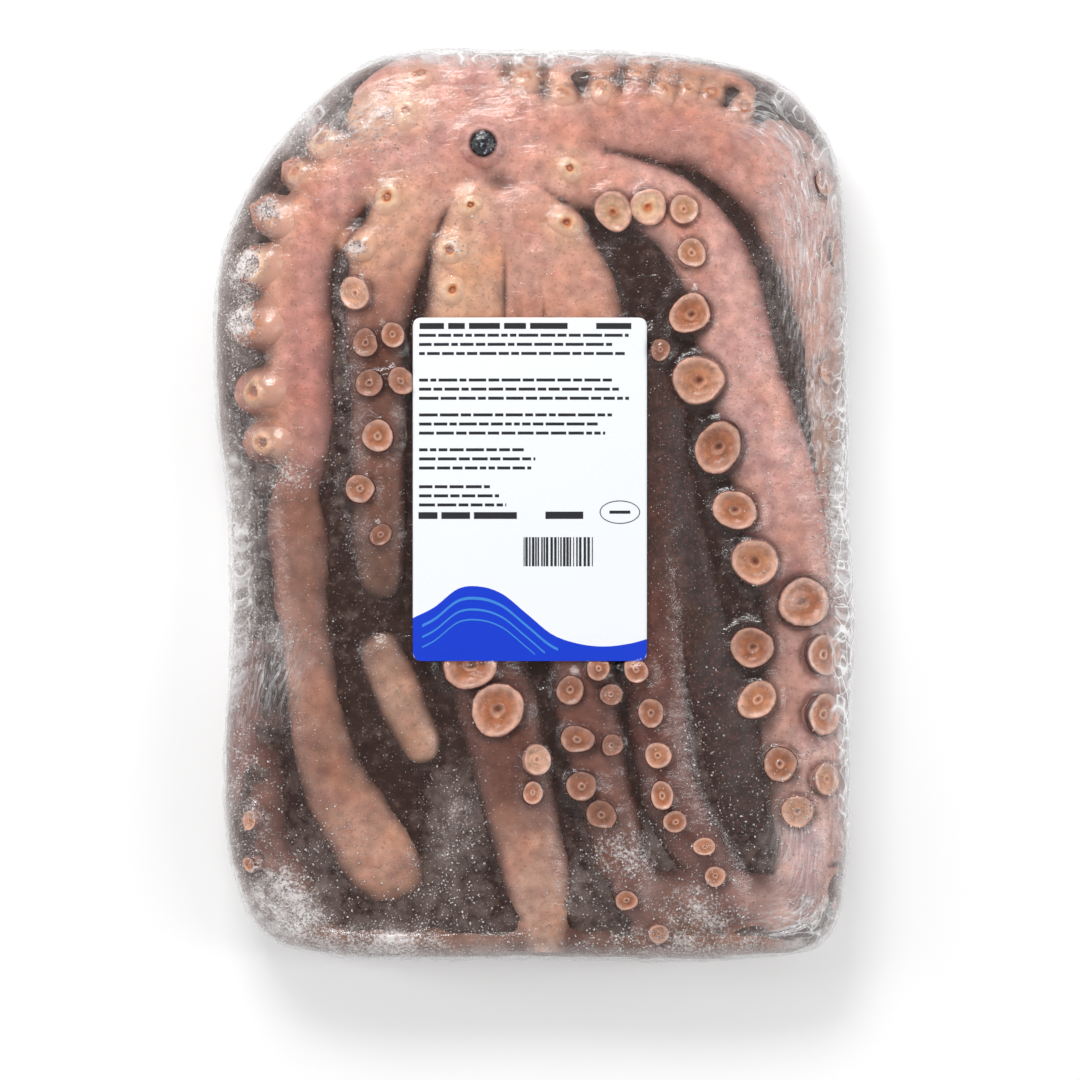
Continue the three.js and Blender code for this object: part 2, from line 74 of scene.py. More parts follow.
# The arms, and after them the folds and webs of skin, which have no cups. route: (x, y, half width) from the
# mouth to the tip. sink: how far it lies below its neighbours, as (share of its length, depth). skin: colours
# along it, as (share of its length, colour). cups: its suckers, as (x, y, radius, lean, tone, kind), where
# lean is how far one tips over to its side of the arm, and tone runs from 0, pale, to 1, brown.
ARMS = {
    "outer_left": {
        "route": [(-25, 137, 13), (-52, 136, 15), (-72, 127, 16), (-85, 109, 15), (-91, 86, 15),
                  (-91, 60, 16), (-90, 33, 15), (-90, 10, 12), (-92, -8, 9)],
        "sink": [(0, 0), (0.85, 1), (1, 8)],
        "skin": [(0, "#dba79c"), (0.35, "#d69f93"), (0.7, "#c68a7f"), (1, "#b98c80")],
        "cups": [(-50, 151.9, 7.5, 0.3, 0.1, "lump"), (-66.5, 148.8, 8, 0.3, 0.1, "lump"),
                 (-82.5, 141, 8.5, 0.3, 0.15, "lump"), (-93, 129, 6.5, 0.4, 0.2, "lump"),
                 (-102.5, 112.7, 9.3, 0.35, 0.2, "lump"), (-108, 92.3, 9.9, 0.4, 0.2, "lump"),
                 (-110, 69.2, 10, 0.45, 0.3, "lump"), (-108.5, 43.5, 10, 0.4, 0.3, "lump"),
                 (-105.5, 24.2, 9, 0.4, 0.3, "lump")],
    },
    "low_left": {
        "route": [(-95, 26, 8), (-92, 3, 12), (-90, -21, 13), (-89, -44, 12), (-87, -63, 12),
                  (-84, -83, 13), (-77, -106, 15), (-66, -125, 18), (-57, -141, 18), (-53, -159, 12)],
        "sink": [(0, 10), (0.14, 2.5), (1, 1.5)],
        "skin": [(0, "#6f5044"), (0.15, "#966e60"), (0.36, "#a57c6d"), (0.5, "#ba8f7d"), (0.62, "#a17867"),
                 (0.85, "#cfa18c"), (1, "#bd9684")],
        "cups": [],
    },
    "second_left": {
        "route": [(-28, 129, 11), (-44, 119, 14), (-54, 102, 16), (-59, 83, 15), (-61, 63, 13), (-60, 40, 12),
                  (-60, 17, 11), (-60, -10, 11), (-59, -38, 8)],
        "sink": [(0, 0), (1, 1.5)],
        "skin": [(0, "#dca99b"), (0.22, "#dba78f"), (0.36, "#b07c6a"), (0.45, "#734d41"), (0.75, "#7d594c"),
                 (1, "#74594c")],
        "cups": [(-56.9, 118.8, 7.7, 0.12, 0, "lump"), (-68.5, 100, 7, 0.36, 0.1, "lump"),
                 (-69.2, 81.5, 6.5, 0.36, 0.35, "flat"), (-65.4, 62.3, 5.5, 0.12, 0.9, "flat"),
                 (-54.6, 65.4, 5, 0.18, 0.8, "flat"), (-63.8, 46.9, 5.5, 0.12, 0.9, "flat"),
                 (-51.5, 47.7, 5.4, 0.24, 0.9, "flat"), (-60.4, 26.5, 6.5, 0.06, 0.8, "flat"),
                 (-67.3, 6.2, 5.8, 0.18, 0.8, "flat"), (-59.6, -11.5, 4.5, 0.06, 0.9, "flat")],
    },
    "finger": {
        "route": [(-62, -48, 8), (-54, -69, 10), (-46, -88, 9), (-41, -101, 7)],
        "sink": [(0, 2), (1, 2)],
        "skin": [(0, "#8d6c5b"), (0.4, "#c39b86"), (1, "#caa38d")],
        "cups": [],
    },
    "centre_left": {
        "route": [(-22, 127, 10), (-24, 102, 16), (-26, 79, 18), (-28, 40, 18), (-28, 2, 17), (-25, -36, 17),
                  (-17, -67, 18), (-11, -92, 18), (-6, -115, 17), (0, -140, 14), (3, -158, 12), (4, -170, 8)],
        "sink": [(0, 0), (1, 1)],
        "skin": [(0, "#dfae9f"), (0.12, "#dcac90"), (0.3, "#c79379"), (0.55, "#80503f"), (0.66, "#693f33"),
                 (0.8, "#7c574c"), (0.87, "#c59a87"), (1, "#d0a995")],
        "cups": [(-25, 115.4, 5.5, 0, 0, "lump"), (-32.7, 98.1, 7, 0.06, 0, "lump"),
                 (-31.9, 82.7, 6.5, 0.06, 0.1, "lump"), (-25, -61.5, 10.4, 0.06, 0.45, "deep"),
                 (-14.6, -78.8, 10.8, 0.06, 0.4, "deep"), (0.8, -98.1, 6, 0.4, 0.45, "flat"),
                 (-1, -111, 4.5, 0.3, 0.5, "flat")],
    },
    "centre_right": {
        "route": [(-8, 125, 9), (4, 104, 15), (15, 83, 18), (21, 40, 17), (17, -6, 15), (16, -44, 14),
                  (20, -75, 14), (24, -100, 12), (30, -123, 11), (37, -146, 9), (46, -163, 8), (51, -171, 6)],
        "sink": [(0, 0), (1, 1.5)],
        "skin": [(0, "#dcab9d"), (0.15, "#d6a28e"), (0.35, "#c08d78"), (0.6, "#855a4e"), (0.8, "#80594f"),
                 (1, "#8f6f66")],
        "cups": [(12.3, 108.5, 7, 0.12, 0.05, "lump"), (13.5, -71.2, 5.8, 0.06, 0.7, "flat"),
                 (16.2, -90, 6.2, 0.06, 0.75, "flat"), (18.1, -108.1, 6.2, 0.06, 0.8, "flat"),
                 (25.4, -119.2, 6, 0.06, 1, "flat"), (24.2, -62.7, 5, 0.18, 0.8, "flat"),
                 (29.2, -73.1, 4.6, 0.24, 0.9, "flat"), (29.6, -92.3, 4.6, 0.24, 1, "flat"),
                 (35.4, -152.3, 4.6, 0, 0.5, "flat"), (47.7, -165.8, 4.6, 0, 0.3, "flat")],
    },
    "inner_right": {
        "route": [(41, 62, 8), (43, 21, 11), (45, -21, 12), (46, -56, 14), (48, -83, 13), (51, -106, 12),
                  (60, -127, 12), (69, -144, 11), (74, -160, 7)],
        "sink": [(0, 1.5), (1, 1.5)],
        "skin": [(0, "#40302c"), (0.35, "#543b35"), (0.6, "#754b42"), (0.8, "#774f48"), (1, "#85655e")],
        "cups": [(48, 59.6, 4.2, 0, 1, "flat"), (38.8, -63.5, 5.2, 0.06, 0.6, "flat"),
                 (44.6, -80, 5.4, 0, 0.6, "flat"), (47.3, -96.5, 5.4, 0, 0.6, "flat"),
                 (48.8, -111.9, 5.2, 0, 0.65, "flat"), (53.8, -121.9, 4.8, 0.06, 0.6, "flat"),
                 (65, -131.5, 4, 0.12, 0.4, "flat"), (69.6, -143.1, 4.2, 0.06, 0.5, "flat")],
    },
    "big_right": {
        "route": [(-11, 134, 9), (10, 129, 12), (33, 123, 14), (54, 112, 15), (69, 91, 16), (77, 60, 16.5),
                  (85, 29, 18.5), (94, -2, 19), (101, -29, 19), (103, -56, 20), (102, -83, 20),
                  (103, -110, 17), (104, -133, 15), (98, -158, 11)],
        "sink": [(0, 0), (1, 1)],
        "skin": [(0, "#dba89b"), (0.15, "#dba698"), (0.3, "#daa99e"), (0.45, "#ddafa6"), (0.58, "#d0a095"),
                 (0.7, "#c99c90"), (0.85, "#d2aaa0"), (1, "#cfaea7")],
        "cups": [(13.5, 129.6, 6, 0.06, 0.05, "lump"), (30, 112.7, 7.7, 0.3, 0.15, "flat"),
                 (43.5, 114.6, 7, 0.18, 0.2, "flat"), (57.3, 113.8, 5.8, 0.12, 0.3, "flat"),
                 (60.4, 96.9, 5.8, 0.18, 0.35, "flat"), (59.6, 73.5, 8.1, 0.18, 0.5, "deep"),
                 (62.7, 48.1, 10, 0.18, 0.5, "deep"), (70.4, 22.3, 10, 0.15, 0.5, "deep"),
                 (76.9, -1.9, 8.5, 0.21, 0.55, "deep"), (84.6, -21.9, 9.2, 0.12, 0.45, "deep"),
                 (103.5, -37.5, 10.4, 0, 0.5, "deep"), (111.5, -57.7, 8.6, 0.12, 0.5, "flat"),
                 (111.5, -80.8, 8.6, 0.12, 0.45, "flat"), (83.5, -55, 8.5, 0.18, 0.6, "deep"),
                 (85.4, -75, 7.7, 0.18, 0.6, "flat"), (94.6, -99.6, 7, 0.12, 0.55, "flat"),
                 (101.2, -118.1, 6.5, 0.12, 0.3, "flat"), (112.5, -105.8, 6.5, 0.24, 0.3, "flat")],
    },
    "outer_right": {
        "route": [(-13, 150, 10), (10, 150, 14), (40, 149, 16), (67, 142, 17), (87, 127, 16), (101, 103, 14),
                  (109, 75, 12), (113, 44, 10), (116, 14, 8), (117, -10, 4)],
        "sink": [(0, 0), (0.6, 0.5), (1, 2)],
        "skin": [(0, "#d8a294"), (0.3, "#d19a8d"), (0.5, "#d3a398"), (0.7, "#c9a094"), (0.85, "#b08e7b"),
                 (1, "#8b6b5a")],
        "cups": [(-3.8, 166.3, 6, 0.3, 0.3, "lump"), (10.4, 159.6, 6, 0.24, 0.35, "lump"),
                 (25.8, 161.7, 6, 0.3, 0.35, "lump"), (40.4, 167.4, 5.5, 0.42, 0.45, "lump"),
                 (50, 160.5, 5.5, 0.24, 0.4, "lump"), (59.6, 161.5, 5.5, 0.3, 0.4, "lump"),
                 (68, 159.5, 5.5, 0.3, 0.45, "lump"), (80.8, 153.8, 5.5, 0.3, 0.4, "lump"),
                 (111.5, 124, 5.5, 0.42, 0.5, "flat"), (116.2, 97.3, 6, 0.54, 0.55, "flat"),
                 (113.4, 51.9, 6, 0.42, 0.45, "flat")],
    },
    "top_back": {
        "route": [(-70, 151, 7), (-52, 162, 10), (-29, 164, 11), (-6, 166, 10), (14, 168, 7)],
        "sink": [(0, 1.5), (1, 1.5)],
        "skin": [(0, "#d9a795"), (0.5, "#e0aca0"), (1, "#d6a597")],
        "cups": [(-44.2, 167.2, 5, 0.36, 0.4, "lump")],
    },
    "corner_left": {
        "route": [(-104, -48, 7), (-106, -80, 11), (-105, -112, 13), (-99, -139, 13), (-84, -157, 10)],
        "sink": [(0, 5), (0.4, 3.5), (1, 3.5)],
        "skin": [(0, "#6b4f48"), (0.4, "#926e67"), (0.7, "#a8837a"), (1, "#9a7c72")],
        "cups": [(-110.4, -121.9, 3.6, 0.12, 0.4, "flat"), (-110.4, -138.8, 3.2, 0.18, 0.4, "flat")],
    },
    "mauve_fold": {
        "route": [(103, -123, 6), (105, -133, 8), (104, -143, 8), (101, -150, 6)],
        "sink": [(0, -0.5), (1, 0)],
        "skin": [(0, "#cba4a3"), (0.5, "#d3b4b9"), (1, "#c29b98")],
        "cups": [],
    },
    "crown": {
        "route": [(-62, 141, 9), (-44, 143, 13), (-22, 137, 17), (2, 143, 13), (20, 138, 9)],
        "sink": [(0, 1), (1, 1)],
        "skin": [(0, "#d9a395"), (0.5, "#dda89c"), (1, "#d8a193")],
        "cups": [],
    },
    "crown_web": {
        "route": [(-50, 151, 7), (-30, 151, 9), (-12, 152, 9), (10, 154, 7)],
        "sink": [(0, 1.5), (1, 1.5)],
        "skin": [(0, "#d9a395"), (1, "#d8a193")],
        "cups": [],
    },
    "top_edge": {
        "route": [(-16, 170, 6), (12, 172, 7), (40, 171, 7), (66, 165, 7), (86, 154, 7)],
        "sink": [(0, 3), (1, 3)],
        "skin": [(0, "#c9917f"), (1, "#c08a76")],
        "cups": [],
    },
    "right_edge": {
        "route": [(84, 150, 7), (101, 135, 9), (110, 114, 10), (114, 90, 10), (116, 62, 9), (118, 30, 7),
                  (119, 0, 5)],
        "sink": [(0, 3), (1, 3)],
        "skin": [(0, "#c49c90"), (0.5, "#cba79f"), (1, "#a98778")],
        "cups": [],
    },
    "centre_web": {
        "route": [(-12, 124, 8), (-8, 110, 8), (-5, 92, 9), (-4, 70, 10), (-4, 40, 12)],
        "sink": [(0, 1.5), (1, 1)],
        "skin": [(0, "#d3a191"), (1, "#c79684")],
        "cups": [],
    },
    "bottom_edge": {
        "route": [(-104, -155, 11), (-84, -163, 12), (-60, -168, 10), (-34, -164, 12), (-14, -170, 10),
                  (14, -164, 12), (36, -170, 10), (60, -163, 12), (84, -168, 10), (104, -157, 12)],
        "sink": [(0, 3.5), (0.2, 2.5), (0.35, 4.5), (0.5, 3), (0.7, 4), (0.85, 2.5), (1, 3)],
        "skin": [(0, "#8d6e63"), (0.4, "#9a786b"), (0.55, "#6d4f47"), (0.75, "#92705f"), (1, "#a88378")],
        "cups": [],
    },
    "low_right": {
        "route": [(20, -128, 8), (34, -140, 10), (52, -150, 12), (72, -150, 13), (90, -152, 13),
                  (106, -153, 12), (114, -146, 8)],
        "sink": [(0, 6), (0.3, 4.5), (0.6, 3), (1, 1.5)],
        "skin": [(0, "#7b5d54"), (0.4, "#9a776c"), (0.7, "#c29a90"), (1, "#dab0a6")],
        "cups": [],
    },
    "dark_skin": {
        "route": [(51, 63, 5), (54, 21, 8), (60, -21, 10), (69, -63, 13), (77, -102, 14), (82, -133, 11)],
        "sink": [(0, 4), (1, 3.5)],
        "skin": [(0, "#443634"), (0.4, "#504746"), (1, "#5c5250")],
        "cups": [],
    },
}
# Colours laid over the flesh: dark ice with painted shade deep in the gaps; painted shade in the creases,
# round the cups and between the lumps; and the lumps' own pale colour.
DARK_ICE_AND_DEPTH_SHADE = "#3b2620"
PAINTED_CUP_SHADOW = "#633a33"
PAINTED_HOLLOW_SHADE = "#60402f"
PAINTED_CREASE_SHADE = "#6d4640"
PALE_SEAT = "#e3b595"

# The pack seen from above, anticlockwise from the right side, and how high the film lets the flesh come at a
# distance from that outline, as (distance, height). At the side, how far in the flesh stays, as (height,
# distance), and under the rim, how low it comes, as (distance, height).
RIM = [(122, 70), (121, 112), (115, 142), (96, 165), (57, 176), (0, 178), (-61, 175), (-92, 152), (-114, 121),
       (-124, 92), (-125, 40), (-120.5, 0), (-119.5, -60), (-122, -100), (-119, -140), (-107, -167),
       (-80, -176), (0, -177.5), (80, -177.5), (114, -170), (122, -140), (123, -90), (125, -55), (123, 0)]
PRESSED = [(-20, 16), (0, 22), (1, 28), (3.5, 35), (8, 41.5), (14, 46), (25, 50), (60, 53.5), (200, 54.5)]
PRESSED_SIDE = [(0, 12), (3, 6), (8, 2), (16, 0), (24, 0.6), (32, 2.5), (60, 4)]
PRESSED_FOOT = [(-20, 12), (0, 9), (3, 4), (8, 1.6), (14, 0.9), (200, 0.8)]


def curve_through(points, step, closed=False):
    """Points at even steps along a smooth curve through the given ones, with what else they carry."""
    given = np.array(points, float)
    if closed:
        given = np.vstack([given[-1:], given, given[:2]])
    else:
        given = np.vstack([2 * given[0] - given[1], given, 2 * given[-1] - given[-2]])
    fine = []
    for four in zip(given[:-3], given[1:-2], given[2:-1], given[3:]):
        a, b, c, d = four
        t1, t2, t3 = np.cumsum([np.linalg.norm(v - u) ** 0.5 for u, v in zip(four[:-1], four[1:])])
        t = np.linspace(t1, t2, 16, endpoint=False)[:, None]
        ab = ((t1 - t) * a + t * b) / t1
        bc = ((t2 - t) * b + (t - t1) * c) / (t2 - t1)
        cd = ((t3 - t) * c + (t - t2) * d) / (t3 - t2)
        abc = ((t2 - t) * ab + t * bc) / t2
        bcd = ((t3 - t) * bc + (t - t1) * cd) / (t3 - t1)
        fine.append(((t2 - t) * abc + (t - t1) * bcd) / (t2 - t1))
    fine = np.vstack(fine + [given[-2:-1]])
    along = np.concatenate([[0], np.cumsum(np.linalg.norm(np.diff(fine[:, :2], axis=0), axis=1))])
    even = np.linspace(0, along[-1], max(2, round(along[-1] / step)) + 1)
    return np.column_stack([np.interp(even, along, column) for column in fine.T])


def top_at(x, y):
    """The height of the arms' tops over a point of the pack."""
    out = np.hypot((x / (PACK_WIDTH / 2)) ** 2, (y / (PACK_LENGTH / 2)) ** 2)
    return ARM_TOP - EDGE_DROP * out ** 2


def arm_of(route, sink=((0, 0), (1, 0)), lift=None, half_height=None):
    """An arm's middle line, half width, half height and the level direction across it, at even steps."""
    path = curve_through(route, ARM_STEP)
    x, y, width = path.T * np.array([[1], [1], [ARM_SPREAD]])
    share = np.linspace(0, 1, len(path))
    if lift is None:
        height = np.minimum(ARM_FLATNESS * width, ARM_HALF_HEIGHT)
        middle_z = top_at(x, y) - SKIN_DROP - np.interp(share, *zip(*sink)) - height
    else:
        height = np.full(len(path), half_height)
        middle_z = np.full(len(path), lift)
    ahead = np.gradient(path[:, :2], axis=0)
    ahead /= np.linalg.norm(ahead, axis=1)[:, None]
    across = np.column_stack([-ahead[:, 1], ahead[:, 0]])
    return {"middle": np.column_stack([x, y, middle_z]), "width": width, "height": height, "across": across}


def beside(arm, x, y):
    """How far points seen from above are from an arm's middle line, and the step of it that is nearest."""
    start = arm["middle"][:-1, :2]
    leg = arm["middle"][1:, :2] - start
    best = np.full(np.shape(x), np.inf)
    nearest = np.zeros(np.shape(x))
    for i, ((sx, sy), (lx, ly)) in enumerate(zip(start, leg)):
        share = np.clip(((x - sx) * lx + (y - sy) * ly) / (lx * lx + ly * ly), 0, 1)
        away = np.hypot(x - sx - share * lx, y - sy - share * ly)
        closer = away < best
        best = np.where(closer, away, best)
        nearest = np.where(closer, i + share, nearest)
    return best, nearest


def arm_field(arm, x, y, z):
    """How far points are outside an arm's round-ended oval tube, less than 0 inside it."""
    away, nearest = beside(arm, x, y)
    steps = np.arange(len(arm["width"]))
    from_end = ARM_STEP * np.minimum(steps, steps[::-1])
    fine = np.sqrt(np.clip(1 - np.clip(1 - from_end / arm["width"], 0, 1) ** 2, 0.03, 1))
    width = np.interp(nearest, steps, arm["width"] * fine)
    height = np.interp(nearest, steps, arm["height"] * fine)[..., None]
    middle = np.interp(nearest, steps, arm["middle"][:, 2])[..., None]
    reach = (away / width)[..., None] ** ARM_SQUARENESS + np.abs((z - middle) / height) ** ARM_SQUARENESS
    return (reach ** (1 / ARM_SQUARENESS) - 1) * height


def stub_of(arm, cup):
    """A short thick stub from an arm's middle out to a lump at its side."""
    x, y, radius = cup[:3]
    step = int(np.argmin(np.hypot(arm["middle"][:, 0] - x, arm["middle"][:, 1] - y)))
    start = arm["middle"][step, :2]
    ahead = (np.array([x, y]) - start) / math.hypot(x - start[0], y - start[1])
    near, far = start + ahead * 0.3 * arm["width"][step], np.array([x, y]) + ahead * 0.85 * radius
    return arm_of([(*near, radius), (*far, radius)], ((0, 1), (1, 0.3)))


def flesh_of(tubes, step, blend):
    """Points and faces of one skin round arms that run softly into each other."""
    x = np.arange(-PACK_WIDTH / 2 - 6, PACK_WIDTH / 2 + 6, step)
    y = np.arange(-PACK_LENGTH / 2 - 6, PACK_LENGTH / 2 + 6, step)
    z = np.arange(-8, ARM_TOP + 6, step)
    across, along = np.meshgrid(x, y, indexing="ij")
    total = sum(np.exp(-arm_field(arm, across, along, z) / blend) for arm in tubes)
    return surface_of(-blend * np.log(total + 1e-30), (x[0], y[0], z[0]), step)


def surface_of(values, start, step):
    """Points and faces of the surface where a grid of values changes sign, with one point in each grid cell
    that it runs through, midway between the places where it crosses the cell's edges."""
    cells, spots, outward = [], [], []
    for axis in range(3):
        low, high = np.delete(values, -1, axis), np.delete(values, 0, axis)
        crossed = (low < 0) != (high < 0)
        at = np.argwhere(crossed)
        share = low[crossed] / (low[crossed] - high[crossed])
        one, two = np.eye(3, dtype=int)[[(axis + 1) % 3, (axis + 2) % 3]]
        around = [at, at - one, at - one - two, at - two]
        cells.append(np.column_stack([np.ravel_multi_index(cell.T, values.shape) for cell in around]))
        spots.append(np.repeat(at + share[:, None] * np.eye(3)[axis], 4, axis=0))
        outward.append(low[crossed] < 0)
    _, index = np.unique(np.concatenate([cell.ravel() for cell in cells]), return_inverse=True)
    spots = np.vstack(spots)
    total = np.column_stack([np.bincount(index, column) for column in spots.T])
    points = total / np.bincount(index)[:, None] * step + start
    faces = index.reshape(-1, 4)
    return points, np.where(np.concatenate(outward)[:, None], faces, faces[:, ::-1]).tolist()


def piece_of(name, points, faces, smooth=True):
    """An object at the origin whose mesh has the given points, in millimetres."""
    mesh = bpy.data.meshes.new(name)
    mesh.from_pydata((np.asarray(points) * MM).tolist(), [], faces)
    mesh.polygons.foreach_set("use_smooth", [smooth] * len(mesh.polygons))
    mesh.update()
    made = bpy.data.objects.new(name, mesh)
    bpy.context.collection.objects.link(made)
    return made


def settle(piece, *modifiers):
    """Runs modifiers, each a kind and its settings, and leaves the piece a plain mesh."""
    for kind, settings in modifiers:
        modifier = piece.modifiers.new(kind, kind)
        for name, value in settings.items():
            setattr(modifier, name, value)
    bpy.context.view_layer.update()
    graph = bpy.context.evaluated_depsgraph_get()
    ready = piece.evaluated_get(graph)
    mesh = bpy.data.meshes.new_from_object(ready, preserve_all_data_layers=True, depsgraph=graph)
    piece.modifiers.clear()
    old, piece.data = piece.data, mesh
    name = old.name
    bpy.data.meshes.remove(old)
    mesh.name = name
    mesh.polygons.foreach_set("use_smooth", [True] * len(mesh.polygons))


def points_of(piece, what="co"):
    """A piece's points in millimetres, or their normals."""
    values = np.empty(3 * len(piece.data.vertices))
    piece.data.vertices.foreach_get(what, values)
    return values.reshape(-1, 3) / (MM if what == "co" else 1)


def place_points(piece, points):
    piece.data.vertices.foreach_set("co", (points * MM).ravel())
    piece.data.update()


def soft_noise(points, size, seed):
    """Smooth bumps of a size between -1 and 1, the same each run. The size may differ along X, Y and Z."""
    grid = points / np.asarray(size, float)
    cell = np.floor(grid).astype(np.int64)
    part = grid - cell
    ease = part * part * (3 - 2 * part)
    total = np.zeros(len(points))
    for corner in np.ndindex(2, 2, 2):
        spot = cell + corner
        x, y, z = (spot * (73856093, 19349663, 83492791)).T
        mixed = x ^ y ^ z ^ (seed * 2654435761)
        mixed = (mixed ^ (mixed >> 13)) * 1274126177
        value = ((mixed ^ (mixed >> 16)) & 65535) / 32767.5 - 1
        total += value * np.prod(np.where(corner, ease, 1 - ease), axis=1)
    return total


def smooth_step(low, high, value):
    share = np.clip((value - low) / (high - low), 0, 1)
    return share * share * (3 - 2 * share)


rim = curve_through(RIM, 1.7, closed=True)[:-1]
rim_turn = np.unwrap(np.arctan2(rim[:, 1], rim[:, 0]))
rim_reach = np.hypot(rim[:, 0], rim[:, 1])


def inset_of(points):
    """How far points lie inside the pack's outline, measured towards its middle."""
    turn = np.arctan2(points[:, 1], points[:, 0])
    turn = np.where(turn < rim_turn[0], turn + 2 * np.pi, turn)
    reach = np.interp(turn, np.append(rim_turn, rim_turn[0] + 2 * np.pi), np.append(rim_reach, rim_reach[0]))
    return reach - np.hypot(points[:, 0], points[:, 1])


def lid_at(points):
    """How high the flesh can come over each point: up to the arms' tops, and lower towards the rim."""
    return np.minimum(top_at(points[:, 0], points[:, 1]), np.interp(inset_of(points), *zip(*PRESSED)) - 1)


def pressed(points, gap=1.0):
    """The points where tight film, the tray and the label leave them."""
    moved = points.copy()
    reach = np.hypot(moved[:, 0], moved[:, 1])
    inset = inset_of(moved)
    side = np.interp(moved[:, 2], *zip(*PRESSED_SIDE)) + gap
    pull = np.clip(side - inset, 0, None)
    moved[:, :2] *= (1 - pull / np.maximum(reach, 1))[:, None]
    inset = inset + pull
    moved[:, 2] = np.minimum(moved[:, 2], np.interp(inset, *zip(*PRESSED)) - gap)
    moved[:, 2] = np.maximum(moved[:, 2], np.interp(inset, *zip(*PRESSED_FOOT)))
    off = np.abs(moved[:, :2] - LABEL_CENTRE) - np.array(LABEL_SIZE) / 2
    near = 1 - smooth_step(0, 3, np.max(off, axis=1))
    bend = LABEL_SAG * np.clip((moved[:, 0] - LABEL_CENTRE[0]) * 2 / LABEL_SIZE[0], -1, 1) ** 2
    lid = LABEL_TOP - LABEL_THICKNESS - UNDER_LABEL - bend + 30 * (1 - near)
    moved[:, 2] = np.minimum(moved[:, 2], lid)
    return moved


def linear(code):
    """The linear colour of an sRGB hex code."""
    shares = [int(code[i:i + 2], 16) / 255 for i in (1, 3, 5)]
    return [s / 12.92 if s <= 0.04045 else ((s + 0.055) / 1.055) ** 2.4 for s in shares] + [1.0]


def laid_over(colours, code, share):
    """Colours with another one laid over them, by a share for each point."""
    return colours * (1 - share[:, None]) + np.array(linear(code)[:3]) * share[:, None]


def add_node(tree, kind, inputs=None, stops=None, **settings):
    """A node with its settings, and its inputs set to a value or linked to an output."""
    node = tree.nodes.new(kind)
    for name, value in settings.items():
        setattr(node, name, value)
    for name, value in (inputs or {}).items():
        if isinstance(value, bpy.types.NodeSocket):
            tree.links.new(value, node.inputs[name])
        else:
            node.inputs[name].default_value = value
    if stops:
        ramp = node.color_ramp
        while len(ramp.elements) < len(stops):
            ramp.elements.new(1)
        for element, (place, colour) in zip(ramp.elements, stops):
            element.position = place
            element.color = linear(colour)
    return node


def new_material(name):
    made = bpy.data.materials.new(name)
    made.use_nodes = True
    made.node_tree.nodes.clear()
    return made, made.node_tree


def give_attribute(piece, name, values, kind="FLOAT"):
    """Stores a number, a vector or a colour for each point of a piece."""
    held_as = {"FLOAT": "value", "FLOAT_VECTOR": "vector", "FLOAT_COLOR": "color"}[kind]
    made = piece.data.attributes.new(name, kind, "POINT")
    made.data.foreach_set(held_as, np.asarray(values, float).ravel())


def give_tint(piece, colours):
    """Stores a linear colour for each point of a piece, which its material reads."""
    give_attribute(piece, "tint", np.column_stack([colours, np.ones(len(colours))]), "FLOAT_COLOR")


# Where frost has grown under the film: (x, y, half width, half length, amount).
FROST_SPOTS = [
    (-104, -158, 26, 20, 0.85), (-62, -170, 34, 10, 0.65), (58, -170, 50, 9, 0.55), (112, -160, 18, 22, 0.5),
    (-112, 93, 7, 7, 0.95), (-113, 71, 6, 6, 0.95), (-103, 114, 6, 5, 0.8), (-69, 99, 5, 4, 0.7),
    (-33, 99, 8, 4, 0.62), (-24, 110, 9, 4, 0.35), (-57, 124, 5, 3, 0.5), (40, 165, 26, 4, 0.45),
    (-117, -30, 9, 55, 0.7), (-115, 85, 8, 34, 0.6), (-97, 14, 15, 10, 0.5), (-92, -52, 16, 5, 0.4),
    (-31, -128, 11, 22, 0.55), (36, -134, 17, 13, 0.58), (66, -156, 22, 14, 0.55), (119, -8, 9, 34, 0.7),
    (-90, 146, 34, 14, 0.5), (0, 175, 70, 5, 0.5), (106, 110, 16, 34, 0.35), (-112, -120, 12, 40, 0.5),
    (100, -120, 24, 30, 0.3), (62, -100, 14, 40, 0.2), (-84, -140, 16, 20, 0.35), (-40, -150, 22, 12, 0.4),
    (-20, -166, 30, 9, 0.35), (20, -150, 15, 12, 0.4),
    (-75, 60, 4, 60, 0.25), (86, 20, 6, 60, 0.2),
]


def strongest(spots, points):
    """The strongest of the oval spots at each point, each as (x, y, half width, half length, amount)."""
    total = np.zeros(len(points))
    for x, y, width, length, amount in spots:
        off = ((points[:, 0] - x) / width) ** 2 + ((points[:, 1] - y) / length) ** 2
        total = np.maximum(total, amount * np.exp(-0.7 * off ** 1.5))
    return total


def frost_at(points):
    """How thick the frost lies at each point, from 0 to 1."""
    total = strongest(FROST_SPOTS, points)
    ragged = soft_noise(points, 9, 51) * 0.25 + soft_noise(points, 4, 52) * 0.2
    return np.clip(total * (1 + ragged) + 0.1 * total * ragged, 0, 1)


arms = {name: arm_of(about["route"], about["sink"]) for name, about in ARMS.items()}


def between_lumps(points):
    """How far each point lies in the hollows between the lumps at an arm's outer side, from 0 to 1."""
    outer = np.zeros(len(points))
    on_lump = np.zeros(len(points))
    for name in ("outer_left", "outer_right"):
        middle = arms[name]["middle"][:, :2]
        for x, y, radius, _, _, kind in ARMS[name]["cups"]:
            if kind != "lump" or (name == "outer_left" and y > 145):
                continue
            start = middle[np.argmin(np.hypot(middle[:, 0] - x, middle[:, 1] - y))]
            ahead = (np.array([x, y]) - start) / math.hypot(x - start[0], y - start[1])
            off = (points[:, :2] - (x, y)) / radius
            out, aside = off @ ahead, np.abs(off @ (-ahead[1], ahead[0]))
            reach = smooth_step(-1.3, 0.1, out) * smooth_step(1.9, 1.3, aside) * smooth_step(1.3, 0.7, out)
            outer = np.maximum(outer, reach)
            on_lump = np.maximum(on_lump, np.exp(-(aside / 0.78) ** 4) * (out < 1.5))
    return outer * (1 - on_lump)


